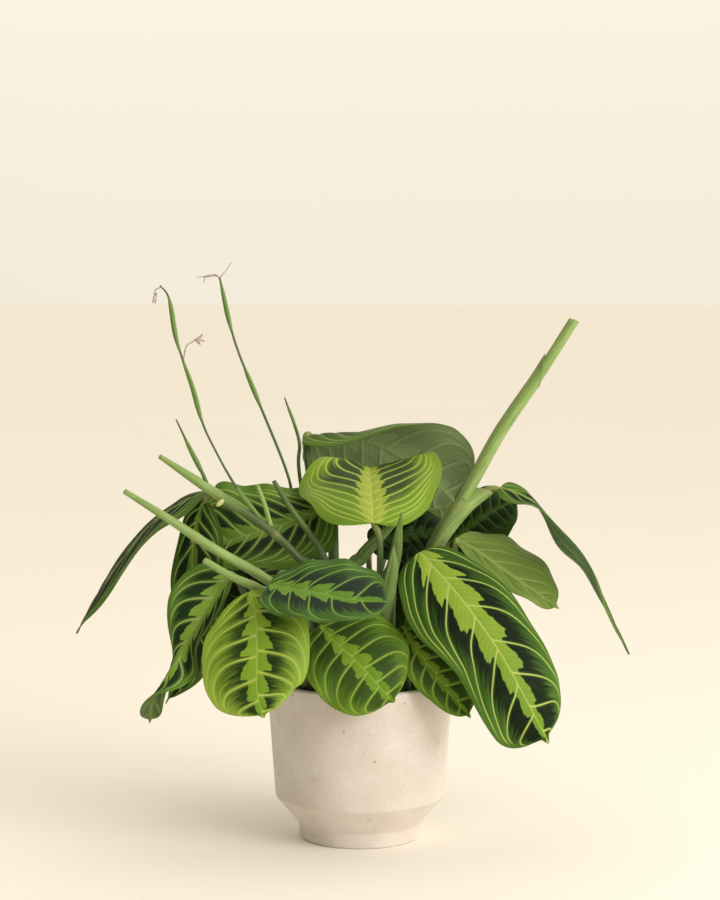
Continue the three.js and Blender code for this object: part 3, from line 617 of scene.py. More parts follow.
def leaf_bottom(name, look):
    graph = new_material(name)
    at = leaf_terms(graph, look)
    mottle = graph.noise(70, 3)
    grain = graph.noise(800)
    colour = graph.paint(
        look.under,
        (at.ribs * 0.25 + mottle * 0.5, look.under_vein),
        (at.blotch * 0.6 + (mottle - 0.5) * 0.3, linear(look.under, 0.72)),
        (at.vein * 0.65 + at.halo * 0.1, look.under_vein),
        (at.midrib * 0.8, look.midrib),
    )
    height = at.ribs * 0.3 + grain * 0.5 + at.vein * 1.2
    return graph.finish(colour, 0.55 + mottle * 0.15, height, 0.0003, 0.6, look.shine)


def stem_material(name, pale, deep, dry=(150, 122, 86)):
    """Green stem skin with lengthwise streaks; it turns warm at a leaf's joint and dry at old ends, and the
    dark mark lays painted shade on a stem's foot and a dark lip where a sheath ends.
    """
    graph = new_material(name)
    around, along_mm, seed = graph.mark("t"), graph.mark("off"), graph.mark("seed")
    streak = graph.noise(1.5, 3, vector=graph.vector(around * 14, along_mm * 0.035, seed))
    fleck = graph.noise(1.6, 3, vector=graph.vector(around * 8, along_mm * 0.4, seed + 5))
    mottle = graph.noise(60, 3)
    colour = graph.paint(
        deep,
        (streak.rise(0.3, 0.7) * 0.7 + (mottle - 0.5) * 0.6, pale),
        (fleck.rise(0.6, 0.75) * 0.25, dry),
        # Painted shade from the dark mark at a stem's foot; the same mark also gives a sheath's dark lip.
        (graph.mark("dark") * (0.75 + streak * 0.4), linear(deep, 0.3)),
        (graph.mark("warm"), (152, 158, 72)),
        (graph.mark("dry") * (0.7 + fleck * 0.6), dry),
    )
    height = streak + fleck * 0.6 + graph.noise(1400) * 0.3
    return graph.finish(colour, 0.42 + fleck * 0.18, height, 0.0002, 0.5)


def pith_material():
    """The cut face of a stem: pale, with darker fibre ends and browned patches."""
    graph = new_material("cut_face")
    fibres = graph.cells(1500)
    mottle = graph.noise(300, 3)
    colour = graph.paint(
        (150, 140, 84),
        (fibres.rise(0.1, 0.5), (206, 204, 150)),
        (mottle.rise(0.5, 0.8) * 0.5, (140, 116, 70)),
    )
    return graph.finish(colour, 0.6 + mottle * 0.2, fibres, 0.0003)


def petal_material():
    """Thin, dry flower parts: off-white with grey-brown folds."""
    graph = new_material("withered_petal")
    folds = graph.noise(500, 3)
    colour = graph.paint((158, 134, 112), (folds.rise(0.35, 0.7), (214, 202, 190)))
    return graph.finish(colour, 0.7 + folds * 0.2, folds, 0.0003, 0.7)


def pot_material():
    """Matte cream stoneware with iron specks, faint tan spots and the grain of the clay."""
    graph = new_material("speckled_stoneware")
    place = graph.place()
    cloud = graph.noise(22, 4, 0.6)
    grain = graph.noise(1300, 3, 0.6)
    sand = graph.noise(420, 3, 0.65)
    jitter = graph.node("ShaderNodeTexNoise", {"Vector": place, "Scale": 900}).outputs["Color"]
    shift = graph.node("ShaderNodeVectorMath", {0: jitter, "Scale": 0.0006}, operation="SCALE")
    ragged = graph.node("ShaderNodeVectorMath", {0: place, 1: shift.outputs[0]}, operation="ADD")

    def specks(scale, size, share, offset):
        """Ragged spots in a share of the cells of a random pattern."""
        aside = (offset, offset * 0.7, offset * 1.3)
        moved = graph.node("ShaderNodeVectorMath", {0: ragged.outputs[0], 1: aside}, operation="ADD")
        cells = graph.node("ShaderNodeTexVoronoi", {"Vector": moved.outputs[0], "Scale": scale})
        split = graph.node("ShaderNodeSeparateColor", {0: cells.outputs["Color"]})
        chosen = Term(graph, split.outputs[0]).rise(1 - share, 1)
        return (1 - Term(graph, cells.outputs["Distance"]).rise(size * 0.35, size)) * chosen

    bold = specks(150, 0.16, 0.24, 0.31)
    colour = graph.paint(
        (232, 224, 216),
        (cloud.rise(0.3, 0.75), (218, 207, 196)),
        (sand.rise(0.45, 0.75) * 0.16, (188, 164, 140)),
        (specks(85, 0.3, 0.5, 0.77) * 0.28, (196, 166, 134)),
        (specks(330, 0.2, 0.2, 0) * 0.55, (160, 122, 84)),
        (bold * 0.85, (132, 94, 60)),
    )
    return graph.finish(colour, 0.62 + sand * 0.2, grain * 0.5 + sand * 0.8 - bold * 1.2, 0.00025, 0.5)


def soil_material():
    """Dark potting soil with paler bits."""
    graph = new_material("potting_soil")
    clumps = graph.noise(320, 4, 0.65)
    bits = graph.cells(260)
    colour = graph.paint(
        (26, 16, 9),
        (clumps.rise(0.3, 0.7), (58, 40, 26)),
        ((1 - bits.rise(0.05, 0.16)) * 0.5, (112, 84, 56)),
    )
    return graph.finish(colour, 0.88 + clumps * 0.1, clumps + graph.cells(700) * 0.6, 0.0008, 0.8)


# Curves and meshes.

def catmull(points, places):
    """Points on the smooth line through some points, as three.js draws it."""
    points = np.asarray(points, float)
    if points.ndim == 1:
        points = points[:, None]
    count = len(points)
    spread = np.asarray(places, float) * (count - 1)
    index = np.clip(np.floor(spread).astype(int), 0, count - 2)
    w = (spread - index)[:, None]
    more = np.vstack([2 * points[0] - points[1], points, 2 * points[-1] - points[-2]])
    before, start, end, after = more[index], more[index + 1], more[index + 2], more[index + 3]
    leave, arrive = 0.5 * (end - before), 0.5 * (after - start)
    cubic = (2 * start - 2 * end + leave + arrive) * w ** 3
    return cubic + (-3 * start + 3 * end - 2 * leave - arrive) * w ** 2 + leave * w + start


def along(values, places):
    """A size at each place: the same everywhere, changing evenly, or on a smooth line."""
    places = np.asarray(places, float)
    if isinstance(values, (int, float)):
        return np.full(len(places), float(values))
    if len(values) == 2:
        return values[0] + (values[1] - values[0]) * places
    return catmull(values, places)[:, 0]


def held(values):
    return np.clip(values, 0, 1)


def unit(vectors):
    length = np.linalg.norm(vectors, axis=-1, keepdims=True)
    return vectors / np.maximum(length, 1e-9)


def tangents(points, places):
    step = 1e-4
    return unit(catmull(points, np.minimum(places + step, 1)) - catmull(points, np.maximum(places - step, 0)))


def wobble(seed, *terms):
    """A smooth, repeatable unevenness from -1 to 1, from a few crossing waves."""
    waves = 4
    total = 0
    for index in range(waves):
        angle = seed * 1.7 + index * 2.399
        crossing = sum((1 + 0.45 * index) * term * math.cos(angle + k) for k, term in enumerate(terms))
        total = total + np.sin(crossing + seed * 2.3 + index)
    return total / waves


def add_object(name, data):
    thing = bpy.data.objects.new(name, data)
    bpy.context.scene.collection.objects.link(thing)
    return thing


class Shape:
    """Points, faces and marks gathered for one mesh, in millimetres."""

    # The dark mark holds painted shade at a stem's foot and the dark lip where a sheath ends.
    MARKS = ("u", "t", "off", "cell", "phase", "seed", "warm", "dry", "dark")

    def __init__(self):
        self.points = []
        self.faces = []
        self.slots = []
        self.marks = {name: [] for name in self.MARKS}
        self.count = 0

    def add(self, points, faces, slots, **marks):
        """Adds a closed part; slots is one material slot, or one for each face."""
        points = np.asarray(points, float).reshape(-1, 3)
        self.points.append(points)
        self.faces.extend(tuple(int(i) + self.count for i in face) for face in faces)
        self.slots.extend([slots] * len(faces) if isinstance(slots, int) else slots)
        for name in self.MARKS:
            value = np.asarray(marks.get(name, 0), float)
            self.marks[name].append(np.broadcast_to(value.ravel(), (len(points),)))
        self.count += len(points)

    def finish(self, name, materials, slot, node):
        """Builds the piece, which rides on the object and stands for a CAD node."""
        mesh = bpy.data.meshes.new(name)
        mesh.from_pydata((np.vstack(self.points) * MM).tolist(), [], self.faces)
        for mark, values in self.marks.items():
            mesh.attributes.new(mark, "FLOAT", "POINT").data.foreach_set("value", np.concatenate(values))
        for material in materials:
            mesh.materials.append(material)
        mesh.polygons.foreach_set("material_index", self.slots)
        mesh.polygons.foreach_set("use_smooth", [True] * len(mesh.polygons))
        mesh.validate()
        mesh.update()
        piece = add_object(name, mesh)
        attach(piece, BODY)
        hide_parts(node)


def grid_faces(rows, columns, start=0, closed=False, turned=False):
    """The faces of a grid of points; a closed one joins its last column to its first."""
    faces = []
    for row in range(rows - 1):
        for column in range(columns if closed else columns - 1):
            right = (column + 1) % columns
            low, high = start + row * columns, start + (row + 1) * columns
            a, b, c, d = low + column, low + right, high + right, high + column
            faces.append((a, d, c, b) if turned else (a, b, c, d))
    return faces


def tube_faces(rows, ring):
    """The faces of a tube of rings. The middle points of its two ends come after the rings."""
    faces = grid_faces(rows, ring, closed=True)
    first = rows * ring
    for i in range(ring):
        j = (i + 1) % ring
        faces += [(first, j, i), (first + 1, first - ring + i, first - ring + j)]
    return faces


# Leaves.

def outline(u, fullness, skew):
    v = np.minimum(u / TIP_START, 1) ** skew
    body = np.maximum(4 * v * (1 - v), 0) ** fullness
    tip = 0.07 * held((1 - u) / (1 - TIP_START)) + 0.015
    wide = np.maximum(body, np.where(u > 0.9, tip, 0))
    return np.maximum(wide, np.where(u < 0.1, 0.06, 0))


def blade_frame(leaf, u):
    """The midrib's points at u, with the directions forward, sideways and up there."""
    looks = unit(np.asarray(leaf.facing, float))
    facing = catmull(looks, u) if len(looks) > 2 else looks[0] + (looks[-1] - looks[0]) * u[:, None]
    forward = tangents(leaf.midrib, u)
    side = unit(np.cross(forward, facing))
    return catmull(leaf.midrib, u), forward, side, np.cross(side, forward)


def blade_points(leaf, u, t):
    """The blade's middle surface, as part.mjs shapes it, and how far each point is from the midrib."""
    centre, forward, side, up = blade_frame(leaf, u)
    height, waves, start = leaf.ripple
    points = np.zeros((len(u), len(t), 3))
    distance = np.zeros((len(u), len(t)))
    for column, place in enumerate(t):
        part, sign, lag, seed = (leaf.left, -1, 1.7, 3) if place < 0 else (leaf.right, 1, 0, 0)
        out = abs(place)
        width = along(part.width, u)
        wide = outline(u, part.fullness, part.skew) * (1 + 0.012 * wobble(leaf.seed + seed, u * 26))
        fold = np.radians(along(part.fold, u))
        curl = np.radians(along(part.curl, u))
        curl = np.where(np.abs(curl) < 0.001, 0.001, curl)
        reach = (np.sin(fold + curl * out) - np.sin(fold)) / curl * wide * width
        bend = (np.cos(fold) - np.cos(fold + curl * out)) / curl * wide * width
        wave = height * out ** 2 * np.sin(math.tau * waves * u + start + lag) * np.minimum(1, 2 * wide)
        back = -part.lobe * width * (out * wide) ** 1.5 * (1 - u) ** 4
        points[:, column] = (
            centre + side * (sign * reach)[:, None] + up * (bend + wave)[:, None] + forward * back[:, None]
        )
        distance[:, column] = place * wide * width
    return points, distance


def surface_normals(points):
    return unit(np.cross(np.gradient(points, axis=1), np.gradient(points, axis=0)))


def spacing(points, phase):
    """How far apart, in millimetres, the veins run at each point of the blade."""
    down, across = np.gradient(points, axis=0), np.gradient(points, axis=1)
    rise_down, rise_across = np.gradient(phase, axis=0), np.gradient(phase, axis=1)
    a, b, c = (down * down).sum(-1), (down * across).sum(-1), (across * across).sum(-1)
    steep = c * rise_down ** 2 - 2 * b * rise_down * rise_across + a * rise_across ** 2
    return np.clip(np.sqrt(np.maximum(a * c - b * b, 1e-9) / np.maximum(steep, 1e-9)), 0.5, 40)


def vein_origin(u, sweep):
    """Where on the midrib the vein through each point starts, as sweep bends it at each place across."""
    starts = np.linspace(-1.2, 1, 700)
    late = held(1 - (1 - starts) / LATE_VEINS)
    columns = []
    for bend in sweep:
        squeezed = (1 - starts) * min(bend / LATE_VEINS, 1) ** (1 - 0.5 * late)
        reached = starts + np.where(late > 0, squeezed, bend)
        columns.append(np.interp(u, np.maximum.accumulate(reached), starts))
    return np.stack(columns, axis=1)


def vein_phase(leaf, u, t):
    """The number of each point's vein, counted from the foot of the blade, with fractions between."""
    out = np.abs(t)
    pairs = zip(leaf.left.sweep, leaf.right.sweep)
    slope, bow, limit = (np.where(t < 0, *pair) for pair in pairs)
    sweep = np.clip(slope * out + bow * out ** 4 / np.maximum(limit - out, 0.02), 0, 0.9)
    origin = vein_origin(u, sweep)
    phase = origin * leaf.veins + 0.5 * (1 - np.exp(-8 * np.maximum(origin, 0))) + FIRST_VEIN
    return phase + 0.1 * wobble(leaf.seed, u[:, None] * 9, t * 2.5)


def bump(distance, width):
    """A smooth hump, 1 at no distance."""
    return np.exp(-((distance / width) ** 2))


def add_leaf(shape, leaf, top, bottom, stalk, rooted=True):
    """A blade with two skins and an edge, and its stalk, in the mesh's slots top, bottom and stalk."""
    u = (1 - np.cos(np.linspace(0, math.pi, ROWS))) / 2
    inner = [0, 0.014, 0.03, 0.05, 0.078]
    right = np.array([*inner, *np.linspace(inner[-1], 0.975, COLUMNS - len(inner) - 1)[1:], 0.99, 1])
    t = np.concatenate([-right[:0:-1], right])
    points, off = blade_points(leaf, u, t)
    phase = vein_phase(leaf, u, t)
    grid_u, grid_t = np.meshgrid(u, t, indexing="ij")
    out = np.abs(grid_t)
    cell = spacing(points, phase)
    between = (phase + RIGHT_LEAD * (grid_t > 0)) % 1
    gap = np.minimum(between, 1 - between) * cell
    inside = held(out / 0.12) * held((1 - out) / 0.25) * held((1 - grid_u) / 0.08)
    inside *= held((phase - LOWEST_VEIN) / 0.3) * held((cell - 2) / 2)
    uneven = wobble(leaf.seed + 1, grid_u * 7, grid_t * 3)
    relief = PLEAT * inside * (np.sin(math.pi * between) ** 0.6 - 0.55)
    relief -= VEIN_GROOVE * bump(gap, 0.9) * inside
    relief += UNEVENNESS * uneven * held(out * 2) * held(grid_u * 6)
    relief -= MIDRIB_GROOVE * bump(off, 1.3) * (1 - grid_u)
    points = points + surface_normals(points) * relief[..., None]
    normals = surface_normals(points)
    ridge = MIDRIB_RIDGE * bump(off, 1.1) * (1 - grid_u) ** 0.7 + VEIN_RIDGE * bump(gap, 0.8) * inside
    edge = 0.5 + 0.5 * held((1 - out) / 0.12)
    upper = points + normals * (BLADE_THICKNESS / 2 * edge)[..., None]
    lower = points - normals * (BLADE_THICKNESS / 2 * edge + ridge)[..., None]
    wide = len(t)
    total = ROWS * wide
    skin = grid_faces(ROWS, wide)
    rim = []
    for row in range(ROWS - 1):
        rim.append((row * wide + wide - 1, (row + 1) * wide + wide - 1))
        rim.append(((row + 1) * wide, row * wide))
    for column in range(wide - 1):
        rim.append((column, column + 1))
        rim.append((total - wide + column + 1, total - wide + column))
    faces = skin + grid_faces(ROWS, wide, total, turned=True) + [(b, a, a + total, b + total) for a, b in rim]
    slots = [top] * len(skin) + [bottom] * len(skin) + [top] * len(rim)
    marks = {"u": grid_u, "t": grid_t, "off": off, "phase": phase, "cell": cell}
    both = {name: np.tile(values.ravel(), 2) for name, values in marks.items()}
    shape.add(np.stack([upper, lower]), faces, slots, seed=leaf.seed, **both)
    add_stalk(shape, leaf, stalk, rooted)


def add_stalk(shape, leaf, slot, rooted):
    """The stalk runs up to the blade and a little way on under its midrib; its top is a warm joint."""
    low, high = leaf.radii
    centre, _, _, up = blade_frame(leaf, np.array([0.03, 0.12]))
    line = [*leaf.stalk, *(centre - up * (0.9 * high + 0.4)).tolist()]

    def joint(u, distance):
        swell = bump(distance[-1] - distance - JOINT * 1.4, JOINT)
        return {"warm": swell * 0.75}, 1 + 0.14 * swell

    radii = [low, (low + high) / 2, high, 0.45 * high]
    add_tube(shape, line, radii, slot, sides=12, steps=44, rooted=rooted, seed=leaf.seed, detail=joint)


def add_tube(shape, line, radii, slot, cut=None, sides=14, steps=60, rooted=False, seed=0, detail=None,
             twist=0, seam=0, slant=0):
    """A rod that follows a line, with its end in the slot cut, across or aslant by a slope. A rooted one
    starts down in the soil, detail gives its marks and swelling, and a seam makes it a rolled leaf."""
    u = np.linspace(0, 1, steps + 1)
    centres = catmull(line, u)
    radius = along(radii, u)
    if rooted:
        x, y, z = centres[0]
        centres = np.vstack([[x, y, ROOT_BOTTOM], [x, y, (ROOT_BOTTOM + z) / 2], centres])
        radius = np.concatenate([[radius[0]] * 2, radius])
        u = np.concatenate([[0, 0], u])
    distance = np.concatenate([[0], np.cumsum(np.linalg.norm(np.diff(centres, axis=0), axis=1))])
    marks, swell = detail(u, distance) if detail else ({}, 1)
    radius = radius * swell
    forward = unit(np.gradient(centres, axis=0))
    side = unit(np.cross(forward[0], (0, 1, 0)))
    sideways = []
    for direction in forward:
        side = unit(side - direction * side.dot(direction))
        sideways.append(side)
    sideways = np.array(sideways)
    upward = np.cross(forward, sideways)
    turn = np.linspace(0, math.tau, sides, endpoint=False)
    if seam:
        turn = np.concatenate([turn, [math.tau - 0.02]])
    ring = len(turn)
    angle = turn[None, :] + twist * u[:, None]
    share = turn / math.tau
    size = radius[:, None] * (1 + seam * (share - 0.5)[None, :] + 0.015 * np.sin(3 * angle + seed))
    near_end = held(1 - (distance[-1] - distance) / SLANT_LENGTH)
    points = (
        centres[:, None] + sideways[:, None] * (np.cos(angle) * size)[..., None]
        + upward[:, None] * (np.sin(angle) * size)[..., None]
        + forward[:, None] * (slant * near_end[:, None] * np.cos(angle) * size)[..., None]
    )
    dome = forward[-1] * radius[-1] * 0.25
    points = np.vstack([points.reshape(-1, 3), centres[0], centres[-1] + dome])
    faces = tube_faces(len(u), ring)
    slots = [slot] * (len(faces) - 2 * ring) + [slot, slot if cut is None else cut] * ring
    spread = {name: [*np.repeat(value, ring), value[0], value[-1]] for name, value in marks.items()}
    shape.add(
        points, faces, slots, seed=seed, u=[*np.repeat(u, ring), 0, 1],
        t=[*np.tile(np.abs(share * 2 - 1), len(u)), 0, 0], off=[*np.repeat(distance, ring), 0, distance[-1]],
        **spread,
    )


def jointed(places, height, shaded=(0.3, 0.6), most=0.6):
    """Rings where a stem is jointed, as marks and a swelling for add_tube; its foot is painted dark as shade,
    below the shaded span.
    """
    def detail(u, distance):
        swell = sum(bump(distance - place * distance[-1], 2.2) for place in places)
        # Painted shade: the dark mark darkens the stem toward its foot, up to most, below the shaded span.
        dark = held((shaded[1] - u) / (shaded[1] - shaded[0])) * most
        return {"warm": swell * 0.35, "dry": swell * 0.15, "dark": dark}, 1 + height * swell
    return detail


def dry_end(start, amount):
    """A stalk that is dry from a share of its length on."""
    def detail(u, distance):
        return {"dry": held((u - start) / (1 - start)) * amount}, 1
    return detail


def dark_lip(u, distance):
    """The thin edge where a sheath ends."""
    return {"dark": held((u - 0.93) / 0.05) * 0.35}, 1 + 0.1 * held((u - 0.9) / 0.1)


def add_bracts(shape, kind, line, slot, seed):
    radii = BRACT_RADII * (SLIM_BRACTS if kind == "right" else 1)
    for number, span in enumerate(BRACTS.get(kind, [])):
        reach = catmull(line, np.linspace(*span, 9))
        add_tube(shape, reach, radii, slot, sides=10, steps=28, seed=seed + number, seam=0.3, twist=0.8)


def add_wisps(shape, lines, radii, slot, seed):
    for number, line in enumerate(lines):
        add_tube(shape, line, radii, slot, sides=6, steps=10, seed=seed + number)


STALK = stem_material("leaf_stalk_skin", (96, 120, 60), (60, 86, 36))
STEM = stem_material("stem_skin", (166, 190, 112), (116, 148, 72))
SHOOT = stem_material("shoot_skin", (122, 148, 72), (82, 112, 48))
THIN = stem_material("flower_stalk_skin", (100, 126, 56), (58, 84, 34), (116, 96, 66))
BRACT = stem_material("bract_skin", (124, 156, 70), (84, 122, 44), (150, 132, 84))
CUT = pith_material()
PETAL = petal_material()
SIDES = {
    name: [leaf_top(f"leaf_{name}_upper_side", look), leaf_bottom(f"leaf_{name}_underside", look)]
    for name, look in LOOKS.items()
}

for number, (name, leaf) in enumerate(LEAVES.items(), 1):
    leaf.seed = number
    shape = Shape()
    add_leaf(shape, leaf, 0, 1, 2)
    shape.finish(f"blade_{name}", [*SIDES[leaf.look], STALK], leaf.slot, f"leaf_{name}")

shape = Shape()
wrapped = catmull(RIGHT_STEM, np.linspace(*RIGHT_WRAP, 13))
add_tube(shape, RIGHT_STEM, RIGHT_STEM_RADII, 0, 1, 20, 90, True, 31, jointed((0.5, 0.78), 0.04), slant=-0.25)
add_tube(shape, wrapped, RIGHT_WRAP_RADII, 0, sides=20, seed=40, seam=0.06, slant=2.2, detail=dark_lip)
add_tube(shape, RIGHT_SHEATH, RIGHT_SHEATH_RADII, 0, sides=20, steps=40, seed=32, seam=0.16, slant=-0.7,
         detail=dry_end(0.9, 0.4))
add_leaf(shape, LEAF_FAR_RIGHT, 2, 3, 4, rooted=False)
skins = [STEM, CUT, *SIDES["strap"], STALK]
shape.finish("stem_with_narrow_leaf", skins, "stem", "leafy_stem_right")

shape = Shape()
add_tube(shape, LEFT_UPPER_STEM, LEFT_UPPER_RADII, 0, 1, 18, 80, True, 33,
         jointed((0.6, 0.8), 0.1, (0.66, 0.8), 0.95))
add_tube(shape, LONG_FLOWER_STALK, LONG_FLOWER_RADII, 5, sides=10, steps=70, seed=34,
         detail=dry_end(0.6, 0.5))
add_tube(shape, SIDE_FLOWER, [0.5, 0.4, 0.4, 0.7], 6, sides=8, steps=16, seed=35)
add_tube(shape, END_FLOWER, [0.5, 0.45, 0.9], 6, sides=8, steps=12, seed=36)
add_wisps(shape, SIDE_PETALS, [0.4, 0.9, 0.4], 6, 71)
add_wisps(shape, END_PETALS, [0.7, 1, 0.5], 6, 75)
add_bracts(shape, "long", LONG_FLOWER_STALK, 7, 78)
add_bracts(shape, "low", LOW_STALK, 7, 82)
add_tube(shape, LOW_STALK, [1.4, 1.2, 0.9, 0.5], 5, sides=10, steps=24, seed=37, detail=dry_end(0.7, 0.25))
add_tube(shape, STUB, [1.7, 1.6, 1.5], 0, 1, sides=10, steps=12, seed=38)
add_tube(shape, PALE_BUD, [1.2, 1.7, 1], 1, sides=10, steps=12, seed=39)
add_leaf(shape, LEAF_FAR_LEFT, 8, 9, 4, rooted=False)
add_leaf(shape, LEAF_LEFT_HANGING, 2, 3, 4, rooted=False)
skins = [STEM, CUT, *SIDES["mid"], STALK, THIN, PETAL, BRACT, *SIDES["strap"]]
shape.finish("stem_with_hanging_leaves", skins, "stem", "leafy_stem_left")

for seed, (name, (line, radii)) in enumerate(CUT_STEMS.items(), 41):
    shape = Shape()
    add_tube(shape, line, radii, 0, 1, 18, 80, True, seed, jointed((0.55, 0.76), 0.1, (0.1, 0.3)))
    shape.finish(f"{name}_piece", [STEM, CUT], "stem", name)

for seed, (name, (line, radii)) in enumerate(SHOOTS.items(), 43):
    shape = Shape()
    add_tube(shape, line, radii, 0, sides=20, rooted=True, seed=seed, seam=0.2, twist=1.2)
    shape.finish(f"{name}_piece", [SHOOT], "stem", name)

for seed, (kind, (line, radii)) in enumerate(FLOWER_STALKS.items(), 46):
    shape = Shape()
    ending = dry_end(0.7, DRY_TIPS[kind])
    add_tube(shape, line, radii, 0, sides=10, steps=90, rooted=True, seed=seed, detail=ending)
    add_bracts(shape, kind, line, 2, seed + 40)
    if kind == "middle":
        add_tube(shape, MIDDLE_FLOWER, [0.5, 0.6, 0.9, 0.6], 1, sides=8, steps=14, seed=91)
        add_wisps(shape, MIDDLE_FILAMENTS, [0.35, 0.3, 0.25], 1, 92)
    name = f"flower_stalk_{kind}"
    shape.finish(f"{name}_piece", [THIN, PETAL, BRACT], "flower_stalk", name)


# Pot and soil.

def rounded(profile, radius, steps=4):
    """A profile of (r, z) points with its corners rounded."""
    points = [profile[0]]
    for before, corner, after in zip(profile, profile[1:], profile[2:]):
        corner = np.asarray(corner, float)
        back, on = before - corner, after - corner
        reach = min(radius, np.linalg.norm(back) * 0.45, np.linalg.norm(on) * 0.45)
        start, end = corner + unit(back) * reach, corner + unit(on) * reach
        for w in np.arange(steps + 1) / steps:
            points.append(tuple((1 - w) ** 2 * start + 2 * w * (1 - w) * corner + w ** 2 * end))
    return [*points, profile[-1]]


def lathe(shape, profile, segments, unevenness, seed, step):
    """A turned body whose profile starts and ends on the axis, in rings about a step apart."""
    fine = [np.asarray(profile[0], float)]
    for start, end in zip(profile, profile[1:]):
        start, end = np.asarray(start, float), np.asarray(end, float)
        pieces = max(1, int(math.dist(start, end) / step))
        fine += [start + (end - start) * k / pieces for k in range(1, pieces + 1)]
    r, z = np.array([point for point in fine if point[0] > 1e-6]).T[..., None]
    turn = np.linspace(0, math.tau, segments, endpoint=False)
    wide = r + unevenness * wobble(seed, np.cos(turn)[None, :] * 2, np.sin(turn)[None, :] * 2, z * 0.04)
    points = np.stack([wide * np.cos(turn), wide * np.sin(turn), np.broadcast_to(z, wide.shape)], axis=-1)
    points = np.vstack([points.reshape(-1, 3), [0, 0, fine[0][1]], [0, 0, fine[-1][1]]])
    shape.add(points, tube_faces(len(r), segments), 0, seed=seed)


inner_shoulder = SHOULDER_RADIUS - WALL
pot_profile = [
    (0, 0), (FOOT_RADIUS - 1, 0), (FOOT_RADIUS, 1), (FOOT_RADIUS + 0.5, FOOT_HEIGHT - 0.8),
    (SHOULDER_RADIUS - 0.8, SHOULDER_HEIGHT - 1), (SHOULDER_RADIUS, SHOULDER_HEIGHT),
    (RIM_RADIUS, POT_HEIGHT - 1), (RIM_RADIUS - 0.8, POT_HEIGHT), (RIM_RADIUS - WALL + 0.8, POT_HEIGHT),
    (RIM_RADIUS - WALL, POT_HEIGHT - 0.8), (inner_shoulder, SHOULDER_HEIGHT + 3),
    (FOOT_RADIUS - WALL + 1, FLOOR + 6), (FOOT_RADIUS - WALL, FLOOR), (0, FLOOR),
]
shape = Shape()
lathe(shape, rounded(pot_profile, 1.4), 160, 0.1, 51, 3)
shape.finish("stoneware_pot", [pot_material()], "pot", "pot")


def soil_height(x, y):
    """The gentle rise and fall of the soil's top."""
    return SOIL_TOP + SOIL_ROLL * np.sin(x * 0.31 + 1) * np.cos(y * 0.27)


def crumb_faces(corners):
    """The twenty faces of a twelve-pointed ball, found from its nearest neighbours."""
    gaps = np.linalg.norm(corners[:, None] - corners[None], axis=2)
    near = (gaps > 0.1) & (gaps < 2.1)
    faces = []
    for i, j, k in combinations(range(len(corners)), 3):
        if near[i, j] and near[j, k] and near[i, k]:
            normal = np.cross(corners[j] - corners[i], corners[k] - corners[i])
            faces.append((i, j, k) if normal.dot(corners[i]) > 0 else (i, k, j))
    return faces


slope = (RIM_RADIUS - SHOULDER_RADIUS) / (POT_HEIGHT - SHOULDER_HEIGHT)
soil_radius = inner_shoulder + slope * (SOIL_TOP - SHOULDER_HEIGHT - 3) - 2 * GAP
soil_profile = [
    (0, FLOOR + GAP), (FOOT_RADIUS - WALL - 2 * GAP, FLOOR + GAP),
    (FOOT_RADIUS - WALL + 1 - 2 * GAP, FLOOR + 6), (inner_shoulder - 2 * GAP, SHOULDER_HEIGHT + 3),
    (soil_radius, SOIL_TOP - 1), (soil_radius - 3, SOIL_TOP), (0, SOIL_TOP),
]
shape = Shape()
lathe(shape, soil_profile, 150, 0, 52, 1.2)
dirt = np.random.default_rng(7)
top = shape.points[0]
on_top = top[:, 2] > SOIL_TOP - 0.5
x, y = top[on_top, 0], top[on_top, 1]
lumps = wobble(3, x * 0.5, y * 0.5) * 0.5 + wobble(5, x * 1.3, y * 1.3) * 0.5 + dirt.normal(0, 0.22, len(x))
top[on_top, 2] = soil_height(x, y) + lumps

# A crumb is a rough twelve-pointed ball, squashed a little.
golden = (1 + 5 ** 0.5) / 2
pairs = [(a, b) for a in (-1, 1) for b in (-golden, golden)]
ball = np.array([corner for a, b in pairs for corner in ((0, a, b), (a, b, 0), (b, 0, a))], float)
ball_faces = crumb_faces(ball)
for _ in range(CRUMBS):
    reach = (soil_radius - 2.5) * math.sqrt(dirt.uniform(0, 1))
    turn = dirt.uniform(0, math.tau)
    size = dirt.uniform(*CRUMB_SIZES)
    x, y = reach * math.cos(turn), reach * math.sin(turn)
    corners = unit(ball) * dirt.uniform(0.7, 1.15, (len(ball), 1)) * size * (1, 1, 0.75)
    shape.add(corners + (x, y, soil_height(x, y) + size * 0.25), ball_faces, 0, seed=52)
shape.finish("crumbly_soil", [soil_material()], "soil", "soil")


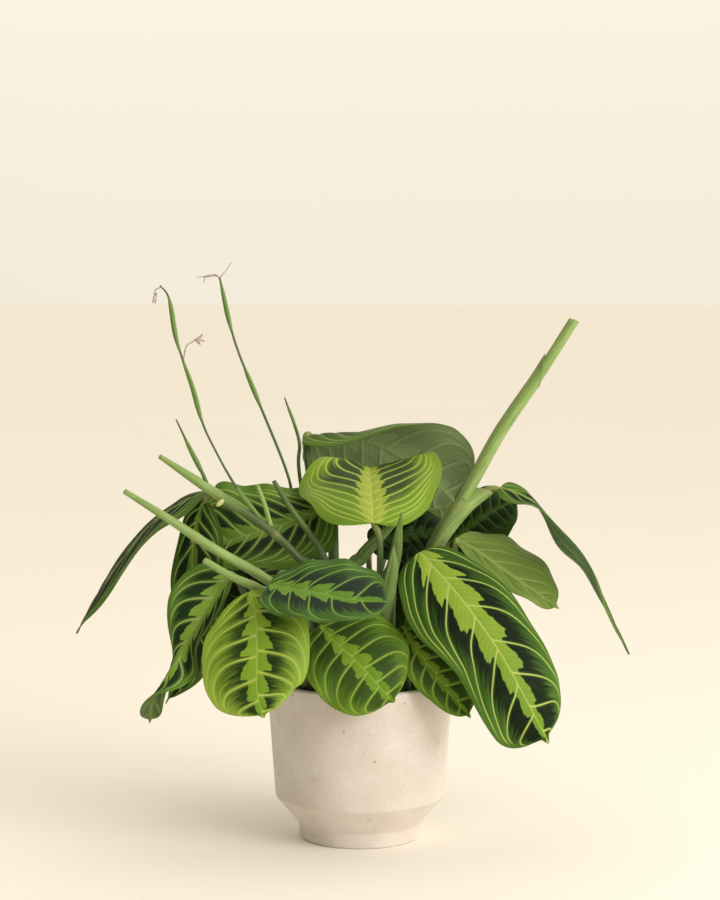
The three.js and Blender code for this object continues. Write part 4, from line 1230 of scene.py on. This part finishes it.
# Stage, light, camera.

def add_floor():
    reach = 30
    graph = new_material("pale_floor")
    colour = graph.paint((252, 247, 238), (graph.noise(1.5), (254, 250, 243)))
    mesh = bpy.data.meshes.new("floor")
    corners = [(-reach, -reach, 0), (reach, -reach, 0), (reach, reach, 0), (-reach, reach, 0)]
    mesh.from_pydata(corners, [], [(0, 1, 2, 3)])
    mesh.materials.append(graph.finish(colour, 0.9))
    add_object("floor", mesh)


def add_key_light(place, target):
    """A wide, slightly warm lamp from the front right."""
    data = bpy.data.lights.new("key", "AREA")
    data.shape = "DISK"
    data.size = 1.6
    data.energy = 30
    data.color = (1, 0.985, 0.96)
    lamp = add_object("key", data)
    lamp.location = place
    x, y, z = np.subtract(target, place)
    lamp.rotation_euler = (math.atan2(math.hypot(x, y), -z), 0, math.atan2(x, -y) + math.pi)


def add_dome():
    """The room: a soft dome, brighter on the right and above than on the left and at the horizon."""
    graph = Graph(bpy.data.worlds.new("studio"))
    direction = graph.node("ShaderNodeTexCoord").outputs["Generated"]

    def glow(toward, *ends):
        """The dome's strength by how far a direction points toward one way."""
        turned = graph.node("ShaderNodeVectorMath", {0: direction, 1: toward}, operation="DOT_PRODUCT")
        return Term(graph, turned.outputs["Value"]).rise(*ends)

    strength = glow((0.72, 0.55, 0.42), -0.7, 0.5, 0.12, 1.18) * glow((0, 0, 1), -0.06, 0.5, 0.8, 1.06)
    graph.feed(graph.tree.nodes["Background"], {"Color": linear((250, 241, 224)), "Strength": strength})
    bpy.context.scene.world = graph.owner


def add_camera():
    data = bpy.data.cameras.new("camera")
    data.sensor_fit = "VERTICAL"
    data.sensor_height = SENSOR
    data.lens = CAMERA_LENS
    camera = add_object("camera", data)
    camera.location = CAMERA_PLACE
    camera.rotation_euler = (math.radians(90 - CAMERA_PITCH), 0, 0)
    bpy.context.scene.camera = camera


add_floor()
add_key_light((1.7, -1.35, 0.9), (0, 0, 0.17))
add_dome()
add_camera()
bpy.context.scene.view_settings.view_transform = "Standard"
